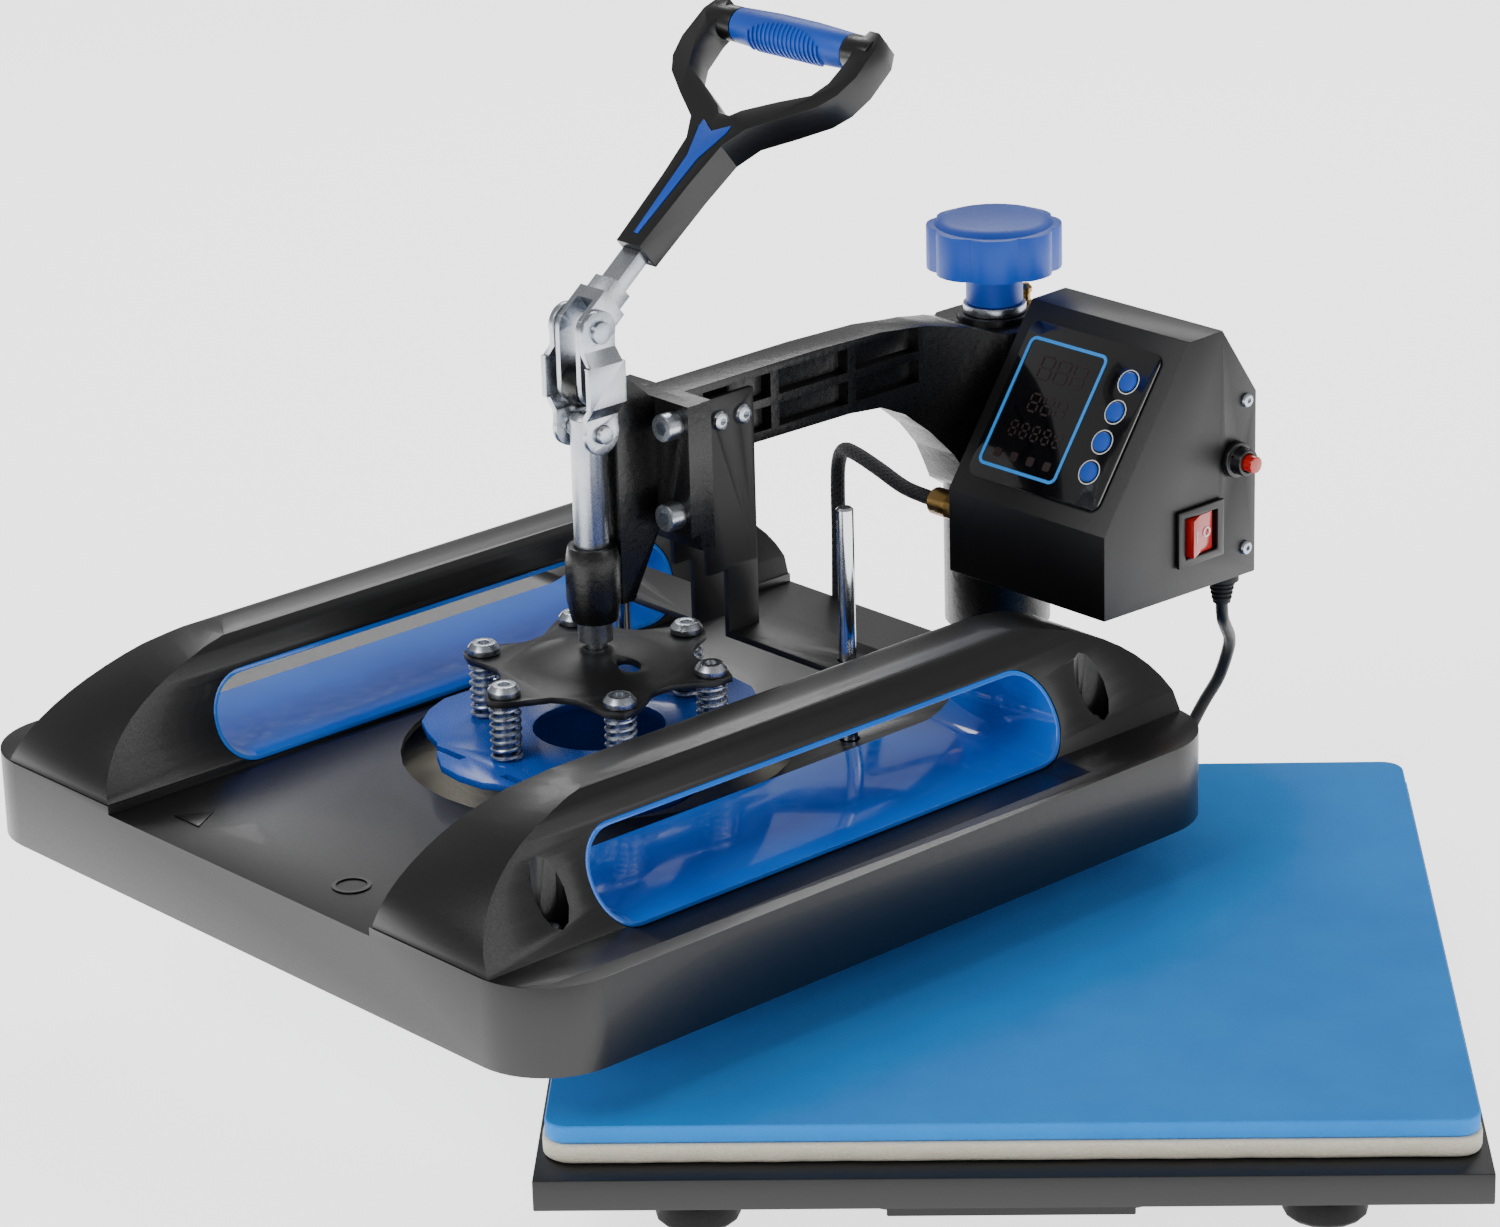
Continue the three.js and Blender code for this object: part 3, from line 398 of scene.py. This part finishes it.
def lathe(profile, count):
    # (radius, z) pairs joined by edges and spun once round the z axis
    mesh = bmesh.new()
    points = [mesh.verts.new((radius, 0, z)) for radius, z in profile]
    edges = [mesh.edges.new(pair) for pair in zip(points, points[1:])]
    bmesh.ops.spin(
        mesh, geom=points + edges, cent=(0, 0, 0), axis=(0, 0, 1), angle=2 * math.pi, steps=count,
        use_merge=True,
    )
    bmesh.ops.remove_doubles(mesh, verts=mesh.verts, dist=0.001)
    bmesh.ops.holes_fill(mesh, edges=[edge for edge in mesh.edges if edge.is_boundary], sides=0)
    return mesh


def raiseFace(mesh, face, height):
    # pulls one flat face up into a solid and gives back its top
    grown = bmesh.ops.extrude_face_region(mesh, geom=[face], use_keep_orig=True)
    moved = [item for item in grown["geom"] if isinstance(item, bmesh.types.BMVert)]
    bmesh.ops.translate(mesh, verts=moved, vec=(0, 0, height))
    return next(item for item in grown["geom"] if isinstance(item, bmesh.types.BMFace))


def flatFace(mesh, outline, level):
    # one face with that outline, lying at that height
    face = mesh.faces.new([mesh.verts.new((x, y, level)) for x, y in outline])
    face.normal_update()
    return face


def prism(outline, low, high):
    # a solid with that outline between two heights
    mesh = bmesh.new()
    raiseFace(mesh, flatFace(mesh, outline, low), high - low)
    return mesh


def roundedRectangle(halfX, halfY, corner, perCorner, centre):
    # the outline of a rounded rectangle, anticlockwise
    points = []
    for quarter, (sx, sy) in enumerate(((1, 1), (-1, 1), (-1, -1), (1, -1))):
        for i in range(perCorner + 1):
            angle = math.pi / 2 * (quarter + i / perCorner)
            points.append((
                centre[0] + sx * (halfX - corner) + corner * math.cos(angle),
                centre[1] + sy * (halfY - corner) + corner * math.sin(angle),
            ))
    return points


def smoothPath(points, perSpan):
    # points on a smooth curve through the given ones
    vectors = [Vector(p) for p in points]
    ends = [2 * vectors[0] - vectors[1], *vectors, 2 * vectors[-1] - vectors[-2]]
    path = []
    for a, b, c, d in zip(ends, ends[1:], ends[2:], ends[3:]):
        for i in range(perSpan):
            t = i / perSpan
            path.append(0.5 * (
                2 * b + (c - a) * t + (2 * a - 5 * b + 4 * c - d) * t * t
                + (3 * b - a - 3 * c + d) * t ** 3
            ))
    return [*path, vectors[-1]]


def tubeMesh(path, radius, sides):
    # a capped tube along a path, with UVs of its girth and its length in metres
    mesh = bmesh.new()
    uvLayer = mesh.loops.layers.uv.new("UVMap")
    normal = (path[1] - path[0]).orthogonal().normalized()
    rows, lengths, total = [], [], 0.0
    for i, point in enumerate(path):
        tangent = (path[min(i + 1, len(path) - 1)] - path[max(i - 1, 0)]).normalized()
        normal = (normal - tangent * normal.dot(tangent)).normalized()
        side = tangent.cross(normal)
        total += (point - path[i - 1]).length if i else 0
        lengths.append(total)
        rows.append([
            mesh.verts.new(point + radius * (math.cos(a) * normal + math.sin(a) * side))
            for a in (2 * math.pi * k / sides for k in range(sides))
        ])
    girth = 2 * math.pi * radius * metre / sides
    for i, (lower, upper) in enumerate(zip(rows, rows[1:])):
        for k in range(sides):
            j = (k + 1) % sides
            face = mesh.faces.new((lower[k], lower[j], upper[j], upper[k]))
            corners = ((k, i), (k + 1, i), (k + 1, i + 1), (k, i + 1))
            for loop, (around, along) in zip(face.loops, corners):
                loop[uvLayer].uv = (around * girth, lengths[along] * metre)
    mesh.faces.new(rows[0][::-1])
    mesh.faces.new(rows[-1])
    return mesh


# cords
powerLead = {
    "diameter": 6, "sides": 12,
    "drop": [
        (104.3, 376.4, 158), (104.3, 376.4, 150), (104.3, 376.4, 142), (104.9, 378.6, 134),
        (106.9, 387.5, 126), (109.2, 398, 117), (109, 404.5, 108), (105, 410, 92), (98, 416.5, 76),
        (92, 421.5, 60), (90, 424, 45), (90.4, 427.5, 31), (92.2, 432.5, 21.5), (94.6, 439, 12.4),
    ],
    "dropSteps": 6,
    # cut is the part of a turn by which the last one stops short
    "coil": {
        "x": 140, "y": 440, "radius": 33, "columns": 3, "rows": 2, "pitch": 6.3, "perTurn": 24,
        "lowest": 3.3, "cut": 0.12,
    },
    "tail": [
        (99.5, 472, 3.4), (94, 480, 3.5), (86, 482.6, 3.7), (77.5, 480, 4.6), (72.2, 474.5, 6.4),
        (71, 466.1, 7.2),
    ],
    "tailSteps": 8,
    "settled": (93.4, 438, 16),
}


def coilPath():
    # turns side by side in each row, outermost first, and then the next row down
    coil = powerLead["coil"]
    points = []
    turns = coil["columns"] * coil["rows"]
    steps = int(turns * coil["perTurn"] - coil["perTurn"] * coil["cut"])
    for step in range(steps + 1):
        turn = step / coil["perTurn"]
        row = min(int(turn / coil["columns"]), coil["rows"] - 1)
        column = turn - row * coil["columns"] - 0.5
        inward = column if row == 0 else coil["columns"] - 1 - column
        radius = coil["radius"] + coil["pitch"] * (1 - min(max(inward, 0), coil["columns"] - 1))
        height = coil["lowest"] + coil["pitch"] * (coil["rows"] - 1 - row)
        angle = math.pi - 2 * math.pi * turn
        points.append(Vector((
            coil["x"] + radius * math.cos(angle), coil["y"] + radius * math.sin(angle), height,
        )))
    return points


def makePowerLead(kit):
    drop = smoothPath(powerLead["drop"], powerLead["dropSteps"])
    coiled = coilPath()
    tail = smoothPath([coiled[-1], *powerLead["tail"]], powerLead["tailSteps"])
    path = [*drop, *coiled[1:], *tail[1:]]
    mesh = tubeMesh(path, powerLead["diameter"] / 2, powerLead["sides"])
    lead = makePiece("power_lead", mesh, kit["cordPvc"], "swing_arm", baseFrame)
    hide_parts("power_cord", "power_cord_coil", "power_cord_tail")
    # a piece that runs between two bodies has no parent
    lead.parent = None
    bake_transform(lead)


heaterLead = {
    "diameter": 7.2, "sides": 14, "steps": 6,
    "route": [
        (37, 200, 188), (20, 200, 188), (8, 200, 188.2), (-8, 200, 189.5), (-26, 201, 194), (-44, 203, 197),
        (-56, 206.5, 195), (-63, 209.5, 186), (-65, 210.5, 172), (-65, 210.5, 150), (-65.5, 210.5, 128),
        (-66, 210.5, 112), (-66, 209.5, 104), (-66, 206.8, 98),
    ],
    "share": 0.55,
}


def makeHeaterLead(kit):
    path = smoothPath(heaterLead["route"], heaterLead["steps"])
    mesh = tubeMesh(path, heaterLead["diameter"] / 2, heaterLead["sides"])
    lead = makePiece("heater_lead", mesh, kit["sleeve"], "swing_arm", replaced=("heater_cable",))
    lead.parent = None
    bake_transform(lead)


strainBoot = {
    "x": 121, "y": 281, "ribs": 4, "lowest": 144.5, "pitch": 2.3, "radius": 4.3, "growth": 0.45,
    # each rib: out from its radius, up from its foot
    "rib": [(0, 0), (0.5, 0.6), (0.5, 1.3), (-0.2, 1.7)],
    "tip": [(0, 143), (4.2, 143)], "collar": [(8, 154), (8, 158), (5, 158.2), (5, 164), (0, 164)],
}


def makeStrainRelief(kit):
    # a tapered boot with ribs that let it bend
    profile = [*strainBoot["tip"]]
    for rib in range(strainBoot["ribs"]):
        low = strainBoot["lowest"] + rib * strainBoot["pitch"]
        radius = strainBoot["radius"] + rib * strainBoot["growth"]
        profile += [(radius + out, low + up) for out, up in strainBoot["rib"]]
    mesh = lathe([*profile, *strainBoot["collar"]], 28)
    bmesh.ops.translate(mesh, vec=(strainBoot["x"], strainBoot["y"], 0), verts=mesh.verts)
    makePiece("strain_boot", mesh, kit["rubber"], "swing_arm", replaced=("strain_relief",))


# soft goods
padShape = {
    "half": 190, "centreY": 190, "low": 52, "high": 60, "corner": 10, "lip": 1.3, "cuts": 14,
    "wave": 0.16, "waveX": 0.043, "waveY": 0.037, "skin": 0.1, "fill": 0.95,
}
feltShape = {
    "half": 191.5, "centreY": 190, "low": 43.3, "high": 51.7, "corner": 12, "lip": 1.8, "cuts": 40,
    "fray": 0.35, "ripples": [(0.31, 0.23), (0.11, -0.17)], "fill": 0.8,
}


def makePad(shape, sag):
    # a plate with rounded corners and rolled edges, divided and then pulled into its resting shape
    outline = roundedRectangle(shape["half"], shape["half"], shape["corner"], 8, (0, shape["centreY"]))
    mesh = prism(outline, shape["low"], shape["high"])
    rims = [edge for edge in mesh.edges if abs(edge.verts[0].co.z - edge.verts[1].co.z) < 0.001]
    bmesh.ops.bevel(
        mesh, geom=rims, offset=shape["lip"], segments=3, profile=0.5, affect="EDGES", material=-1,
        clamp_overlap=True,
    )
    for axis in (0, 1):
        for cut in range(1, shape["cuts"]):
            place = [0, shape["centreY"], 0]
            place[axis] += shape["half"] * (2 * cut / shape["cuts"] - 1)
            normal = [0, 0, 0]
            normal[axis] = 1
            bmesh.ops.bisect_plane(
                mesh, geom=mesh.verts[:] + mesh.edges[:] + mesh.faces[:], plane_co=place, plane_no=normal,
            )
    for corner in mesh.verts:
        sag(corner.co, shape)
    return mesh


def makeSiliconePad(kit):
    def sag(point, shape):
        # the top face settles in shallow waves
        if point.z > shape["high"] - shape["skin"]:
            wave = math.sin(point.x * shape["waveX"]) * math.cos(point.y * shape["waveY"])
            point.z -= shape["wave"] * abs(wave)

    pad = makePiece(
        "foam_pad", makePad(padShape, sag), kit["foam"], "base", baseFrame, replaced=("silicone_mat",),
    )


def makeFelt(kit):
    def sag(point, shape):
        # the cut edge wanders in and out by a hair
        ripple = sum(math.sin(point.x * a + point.y * b) for a, b in shape["ripples"]) / 2
        share = 1 + shape["fray"] * (ripple - 1) / shape["half"]
        point.x *= share
        point.y = shape["centreY"] + (point.y - shape["centreY"]) * share

    felt = makePiece(
        "felt_layer", makePad(feltShape, sag), kit["felt"], "base", baseFrame, replaced=("felt_pad",),
    )


# fasteners
heads = {  # shares of the radius and the height
    "domed": {"rim": 0.45, "crown": 0.62, "shoulder": [(0.84, 0.86)]},
    "flat": {"rim": 0.92, "crown": 0.93, "shoulder": []},
}
fasteners = {  # face is where the head sits, spots are its other two places
    "flangeBolt": {
        "radius": 6.4, "height": 8, "socket": 3, "head": "flat",
        "face": 32.6, "spots": [(-21, 226), (21, 226), (-21, 268), (21, 268)],
    },
    "bracketScrew": {
        "radius": 4.6, "height": 2.8, "socket": 1.6, "head": "domed",
        "face": 13.05, "spots": [(66, 260), (80, 260)],
    },
    "boxScrew": {
        "radius": 3.4, "height": 2.0, "socket": 1.2, "head": "domed",
        "face": 132.55, "spots": [(284, 244), (284, 172)],
    },
    "coverScrew": {
        "radius": 4.4, "height": 2.6, "socket": 1.6, "head": "domed",
        "face": 128.05, "spots": [(156, -161), (-156, -161), (156, 157), (-156, 157)],
    },
}
socketDepth = 0.65  # share of a head's height


def screwHead(size):
    # a turned head standing on z = 0, with a six-sided socket let into its top
    radius, height, socket = size["radius"], size["height"], size["socket"]
    head = heads[size["head"]]
    flat = radius * head["crown"]
    shoulder = [(radius * out, height * up) for out, up in head["shoulder"]]
    mesh = lathe([(0, 0), (radius, 0), (radius, height * head["rim"]), *shoulder, (flat, height)], 24)
    mesh.normal_update()
    top = max(mesh.faces, key=lambda face: face.calc_center_median().z)
    bmesh.ops.inset_region(mesh, faces=[top], thickness=flat - socket)
    for corner in top.verts:
        angle = math.atan2(corner.co.y, corner.co.x)
        across = socket / math.cos((angle % (math.pi / 3)) - math.pi / 6)
        corner.co.x, corner.co.y = across * math.cos(angle), across * math.sin(angle)
    sunk = bmesh.ops.extrude_face_region(mesh, geom=[top])["geom"]
    bmesh.ops.delete(mesh, geom=[top], context="FACES_ONLY")
    floor = [item for item in sunk if isinstance(item, bmesh.types.BMVert)]
    bmesh.ops.translate(mesh, verts=floor, vec=(0, 0, -height * socketDepth))
    return mesh


def makeFasteners(kit):
    flange, bracket, box, cover = fasteners.values()
    for i, (x, z) in enumerate(flange["spots"]):
        place = facing(headFrame, x, flange["face"], z, turnX=90)
        makePiece(f"flange_bolt_{i + 1}", screwHead(flange), kit["zinc"], "swing_arm", place)
    for i, (y, z) in enumerate(bracket["spots"]):
        for hand, side in (("r", 1), ("l", -1)):
            place = facing(headFrame, side * bracket["face"], y, z, turnY=side * 90)
            makePiece(f"bracket_screw_{i + 1}_{hand}", screwHead(bracket), kit["zinc"], "swing_arm", place)
    for i, (y, z) in enumerate(box["spots"]):
        place = facing(headFrame, box["face"], y, z, turnY=90)
        makePiece(f"box_screw_{i + 1}", screwHead(box), kit["zinc"], "swing_arm", place)
    for i, (x, y) in enumerate(cover["spots"]):
        place = facing(headFrame, x, y, cover["face"])
        makePiece(f"cover_screw_{i + 1}", screwHead(cover), kit["zinc"], "upper_platen", place)


# springs
coilSpring = {
    "count": 6, "wire": 1.0, "sides": 8, "mean": 6.4, "turns": 8, "perTurn": 14, "low": 128.8, "high": 155.2,
    "ring": 54, "keep": 0.4167,
    # shares of the wire's length: the closed turns at one end, and the working turns
    "closed": 0.09, "working": 0.82,
}


def makeSprings(kit):
    # round-wire springs with close end turns
    for number in range(coilSpring["count"]):
        around = math.pi / 2 + number * 2 * math.pi / coilSpring["count"]
        x, y = coilSpring["ring"] * math.cos(around), coilSpring["ring"] * math.sin(around)
        low = coilSpring["low"] + coilSpring["wire"]
        span = coilSpring["high"] - coilSpring["wire"] - low
        path = []
        steps = coilSpring["turns"] * coilSpring["perTurn"]
        for i in range(steps + 1):
            part = i / steps
            rise = min(max((part - coilSpring["closed"]) / coilSpring["working"], 0), 1)
            angle = 2 * math.pi * coilSpring["turns"] * part
            path.append(Vector((
                x + coilSpring["mean"] * math.cos(angle), y + coilSpring["mean"] * math.sin(angle),
                low + span * rise,
            )))
        mesh = tubeMesh(path, coilSpring["wire"], coilSpring["sides"])
        node = f"pressure_spring_{number + 1}"
        spring = makePiece(f"spring_{number + 1}", mesh, kit["zinc"], "upper_platen", replaced=(node,))
        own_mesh(spring)


# control panel
panelArt = {
    "face": 1.55, "raised": 0.12, "frame": (43.5, 93, 15.5, 80.5), "frameCorner": 4, "frameWidth": 1.6,
    "frameHeight": 0.25,
    "keys": [26.5, 41.5, 56.5, 71.5], "keyX": 109.6, "keySunk": 0.02,
    "dome": [(0, 0), (4.7, 0), (4.7, 0.7), (4.1, 1.2), (2.2, 1.45), (0, 1.5)],
    "keyRing": {"half": 6, "corner": 5.9, "width": 0.5, "height": 0.1},
    # height on the panel, count, width and height of each row of digits
    "rows": [(67, 3, 8.4, 11), (50, 3, 6.4, 8.6), (36, 5, 5.0, 7)], "middle": 70, "gap": 2, "bar": 1.0,
    "signs": {"y": 23, "x": 53, "pitch": 10.5, "half": 2.2, "corner": 1, "count": 4},
}


def segmentBars(width, height, thick):
    # centre, length and direction of the seven bars of a digit
    half = height / 2
    flat = [(0, half), (0, 0), (0, -half)]
    upright = [(-width / 2, half / 2), (width / 2, half / 2), (-width / 2, -half / 2), (width / 2, -half / 2)]
    return [(x, y, width - thick, True) for x, y in flat] + [(x, y, half - thick, False) for x, y in upright]


def addBar(mesh, x, y, length, lying):
    # one bar of a digit, pointed at both ends
    half, tip = length / 2, panelArt["bar"] / 2
    outline = [
        (-half, 0), (-half + tip, -tip), (half - tip, -tip), (half, 0), (half - tip, tip), (-half + tip, tip),
    ]
    points = [(x + a, y + b) if lying else (x - b, y + a) for a, b in outline]
    raiseFace(mesh, flatFace(mesh, points, panelArt["face"]), panelArt["raised"])


def makeDigits(kit):
    mesh = bmesh.new()
    bar, signs = panelArt["bar"], panelArt["signs"]
    for rise, count, width, height in panelArt["rows"]:
        for column in range(count):
            x = panelArt["middle"] + (column - (count - 1) / 2) * (width + panelArt["gap"])
            for dx, dy, length, lying in segmentBars(width - bar, height, bar):
                addBar(mesh, x + dx, rise + dy, length, lying)
    for column in range(signs["count"]):
        centre = (signs["x"] + column * signs["pitch"], signs["y"])
        outline = roundedRectangle(signs["half"], signs["half"], signs["corner"], 4, centre)
        raiseFace(mesh, flatFace(mesh, outline, panelArt["face"]), panelArt["raised"])
    makePiece("panel_digits", mesh, kit["dimDigit"], "swing_arm", panelFrame)


def ringStrip(halfX, halfY, corner, width, low, high, centre):
    # a raised line round a rounded rectangle
    mesh = bmesh.new()
    face = flatFace(mesh, roundedRectangle(halfX, halfY, corner, 6, centre), low)
    strip = bmesh.ops.inset_region(mesh, faces=[face], thickness=width, use_boundary=True)["faces"]
    bmesh.ops.delete(mesh, geom=[face], context="FACES")
    bmesh.ops.solidify(mesh, geom=strip, thickness=high - low)
    bottom = min(vert.co.z for vert in mesh.verts)
    bmesh.ops.translate(mesh, verts=mesh.verts, vec=(0, 0, low - bottom))
    return mesh


def makePanelArt(kit):
    left, right, low, high = panelArt["frame"]
    centre = ((left + right) / 2, (low + high) / 2)
    face, ring = panelArt["face"], panelArt["keyRing"]
    strip = ringStrip(
        (right - left) / 2, (high - low) / 2, panelArt["frameCorner"], panelArt["frameWidth"],
        face, face + panelArt["frameHeight"], centre,
    )
    # the blue frame line is print with a small painted glow
    makePiece("panel_frame", strip, kit["blueInkPaintedGlow"], "swing_arm", panelFrame)
    for i, y in enumerate(panelArt["keys"]):
        place = facing(panelFrame, panelArt["keyX"], y, face - panelArt["keySunk"])
        dome = lathe(panelArt["dome"], 28)
        makePiece(f"panel_key_{i + 1}", dome, kit["bluePlastic"], "swing_arm", place)
        surround = ringStrip(
            ring["half"], ring["half"], ring["corner"], ring["width"], face, face + ring["height"],
            (panelArt["keyX"], y),
        )
        makePiece(f"panel_key_ring_{i + 1}", surround, kit["whiteInk"], "swing_arm", panelFrame)
    makeDigits(kit)


rockerMarks = {
    "thick": 0.15, "barHalf": (3, 0.5), "ringHalf": 2.4, "ringCorner": 2.3, "ringWidth": 0.7,
    "on": (136.2, 247.6, 187.2), "off": (133.95, 256.4, 187.2),
    # the pressed-out half of the rocker rises by 4 over 8.7
    "slope": math.atan2(4, 8.7),
}


def makeRockerMarks(kit):
    # the bar lies on the sloping half of the power rocker, and the ring on its other half
    thick, half = rockerMarks["thick"], rockerMarks["ringHalf"]
    a, b = rockerMarks["barHalf"]
    bar = prism([(-a, -b), (a, -b), (a, b), (-a, b)], 0, thick)
    place = facing(headFrame, *rockerMarks["on"], turnY=90) @ Matrix.Rotation(-rockerMarks["slope"], 4, "X")
    makePiece("rocker_mark_on", bar, kit["whiteInk"], "power_rocker", place)
    loop = ringStrip(half, half, rockerMarks["ringCorner"], rockerMarks["ringWidth"], 0, thick, (0, 0))
    place = facing(headFrame, *rockerMarks["off"], turnY=90)
    makePiece("rocker_mark_off", loop, kit["whiteInk"], "power_rocker", place)


# handle
gripY = 168  # along the handle from the upper pin
inlay = {
    "outline": [
        (-1.2, 48), (1.2, 48), (3.4, 92), (9, 108), (9, 112), (0, 107), (-9, 112), (-9, 108), (-3.4, 92),
    ],
    "low": 5.8, "high": 7.7, "edge": 0.3,
}
gripRibs = {
    "count": 17, "pitch": 2.8, "low": 8.4, "high": 9.75, "width": 1.1, "arc": 150, "middle": 75, "steps": 14,
}
gripCap = {"profile": [(0, 0), (7, 0), (7, 0.5), (6, 1.2), (0, 1.5)], "out": 51.9}


def makeGripRibs(kit):
    # thin ribs across the front and underside of the grip, shorter towards its ends
    mesh = bmesh.new()
    count, pitch, half = gripRibs["count"], gripRibs["pitch"], gripRibs["width"] / 2
    low, high = gripRibs["low"], gripRibs["high"]
    for i in range(count):
        along = (i - (count - 1) / 2) * pitch
        arc = math.radians(gripRibs["arc"]) * math.sqrt(1 - (2 * along / (pitch * (count + 1))) ** 2)
        corners = ((-half, low), (half, low), (half, high), (-half, high))
        section = mesh.faces.new([mesh.verts.new((along + dx, 0, radius)) for dx, radius in corners])
        ring = [*section.verts, *section.edges, section]
        start = Matrix.Rotation(math.radians(gripRibs["middle"]) - arc / 2, 3, "X")
        bmesh.ops.rotate(mesh, verts=section.verts, cent=(0, 0, 0), matrix=start)
        bmesh.ops.spin(mesh, geom=ring, cent=(0, 0, 0), axis=(1, 0, 0), angle=arc, steps=gripRibs["steps"])
    makePiece("grip_ribs", mesh, kit["bluePlastic"], "handle", barFrame @ Matrix.Translation((0, gripY, 0)))


def makeHandleTrim(kit):
    makeGripRibs(kit)
    stripe = prism(inlay["outline"], inlay["low"], inlay["high"])
    makePiece("handle_inlay", stripe, kit["bluePlastic"], "handle", barFrame, inlay["edge"])
    for i, side in enumerate((-1, 1)):
        cap = lathe(gripCap["profile"], 28)
        place = facing(barFrame, side * gripCap["out"], gripY, 0, turnY=side * 90)
        makePiece(f"handle_end_cap_{i + 1}", cap, kit["blackAbs"], "handle", place)


# small trim
nipple = {
    "profile": [(0, 0), (3.6, 0), (3.6, 3), (2.2, 4), (2.2, 7), (3.1, 8.2), (3.1, 10), (1.4, 12), (0, 12)],
    "place": (0, reach + 21, 262.9),
}
innerFoot = {
    "profile": [(0, 0), (12, 0), (14, 2), (11, 10), (6, 12), (6, 27), (0, 27)],
    "places": [(-49.5, 52.5, 0), (49.5, 52.5, 0)],
}
breakerNut = {"profile": [(0, 0), (6.8, 0), (6.8, 1.4), (6.2, 2), (0, 2)], "place": (136.1, 276, 217.5)}
deckMarks = {
    "low": 120, "high": 120.7, "edge": 0.3, "triangle": [(-70, -186), (-52, -186), (-61, -171)],
    "discHalf": 8.5, "discCorner": 8.4, "discWidth": 1.8, "disc": (46, -178.5),
}


def makeTrim(kit):
    place = facing(headFrame, *nipple["place"])
    makePiece("grease_nipple", lathe(nipple["profile"], 20), kit["brass"], "swing_arm", place)
    for i, spot in enumerate(innerFoot["places"]):
        foot = lathe(innerFoot["profile"], 24)
        makePiece(f"inner_foot_{i + 1}", foot, kit["rubber"], "base", facing(baseFrame, *spot))
    place = facing(headFrame, *breakerNut["place"], turnY=90)
    makePiece("breaker_nut", lathe(breakerNut["profile"], 6), kit["steelBlack"], "swing_arm", place)


def makeDeckMarks(kit):
    # low raised shapes on the front of the cover, with no lettering
    low, high, half = deckMarks["low"], deckMarks["high"], deckMarks["discHalf"]
    mark = prism(deckMarks["triangle"], low, high)
    makePiece("deck_mark_left", mark, kit["blackAbs"], "upper_platen", bevelMm=deckMarks["edge"])
    disc = ringStrip(half, half, deckMarks["discCorner"], deckMarks["discWidth"], low, high, deckMarks["disc"])
    makePiece("deck_mark_right", disc, kit["blackAbs"], "upper_platen")


# carried-over CAD nodes
carried = [
    ("powder", 0.6, "base_frame platen_tray post guide_bracket_right guide_bracket_left"),
    ("powder", 0.6, "box_shell box_back star_plate"),
    ("casting", 0.8, "arm_casting clamp_casting"),
    ("blackAbs", 0.7, "cover handle_frame rocker_bezel breaker_bush"),
    ("linerBlue", 0.4, "liner_right liner_left"),
    ("bluePlastic", 0.8, "pressure_knob handle_grip"),
    ("enamel", 0.5, "spider_plate"),
    ("zinc", 0.4, "thrust_washer lead_screw handle_bar link_right link_left plunger_rod"),
    ("chrome", 0.0, "guide_rod_right guide_rod_left"),
    ("brass", 0.3, "lead_nut lift_collar cable_gland"),
    ("rubber", 0.5, "foot_front_left foot_front_right foot_rear_left foot_rear_right mains_plug"),
    ("aluminium", 0.6, "heater_plate"),
    ("insulation", 0.3, "insulation_board"),
    ("gloss", 0.3, "display_panel"),
    ("red", 0.4, "rocker_switch breaker_button"),
    ("board", 0.2, "control_board"),
    ("zinc", 0.2, " ".join(f"shoulder_screw_{i + 1}" for i in range(6))),
]


def dressCarried(kit):
    for material, bevelMm, nodes in carried:
        for node in nodes.split():
            dress(cadNodes[node], kit[material], bevelMm)


# studio
studio = {
    "floor": "ffffff", "floorSize": 9, "floorZ": -0.0005, "floorShine": 0.1, "glow": 2.0, "world": 0.36,
    "target": (0, 0, 0.2),
}
lamps = {
    "key": {"place": (-1.4, -1.2, 1.9), "size": (1.4, 1.0), "power": 24},
    "fill": {"place": (1.9, -1.0, 1.3), "size": (1.2, 1.2), "power": 11},
    "rim": {"place": (0.2, 1.8, 1.7), "size": (1.8, 0.6), "power": 22},
}


def makeFloor():
    # a white floor that glows a little, which keeps the shadows pale
    mesh = bmesh.new()
    bmesh.ops.create_grid(mesh, x_segments=1, y_segments=1, size=studio["floorSize"])
    bmesh.ops.translate(mesh, verts=mesh.verts, vec=(0, 0, studio["floorZ"]))
    data = bpy.data.meshes.new("floor")
    mesh.to_mesh(data)
    mesh.free()
    floor = bpy.data.objects.new("floor", data)
    bpy.context.scene.collection.objects.link(floor)
    material, _, shader, _, _ = startMaterial("studio_floor", studio["floor"], 0.85)
    shader.inputs["Specular IOR Level"].default_value = studio["floorShine"]
    shader.inputs["Emission Color"].default_value = (1, 1, 1, 1)
    shader.inputs["Emission Strength"].default_value = studio["glow"]
    data.materials.append(material)


def makeLamps():
    # soft rectangular lamps, each turned towards the middle of the press
    for name, lamp in lamps.items():
        light = bpy.data.lights.new(name, "AREA")
        light.shape = "RECTANGLE"
        light.size, light.size_y = lamp["size"]
        light.energy = lamp["power"]
        body = bpy.data.objects.new(name, light)
        bpy.context.scene.collection.objects.link(body)
        body.location = lamp["place"]
        aim = Vector(studio["target"]) - Vector(lamp["place"])
        body.rotation_euler = aim.to_track_quat("-Z", "Y").to_euler()


def makeStudio():
    makeFloor()
    world = bpy.data.worlds.new("studio")
    world.use_nodes = True
    back = world.node_tree.nodes["Background"]
    back.inputs["Color"].default_value = (1, 1, 1, 1)
    back.inputs["Strength"].default_value = studio["world"]
    bpy.context.scene.world = world
    makeLamps()


# build
makeCamera()
smoothing = smoothGroup()
kit = makeMaterials()
makePowerLead(kit)
makeHeaterLead(kit)
makeStrainRelief(kit)
print("cords done")
makeSiliconePad(kit)
makeFelt(kit)
print("soft goods done")
makeFasteners(kit)
makeSprings(kit)
print("fasteners and springs done")
makePanelArt(kit)
makeRockerMarks(kit)
makeHandleTrim(kit)
makeTrim(kit)
makeDeckMarks(kit)
print("trim done")
dressCarried(kit)
makeStudio()
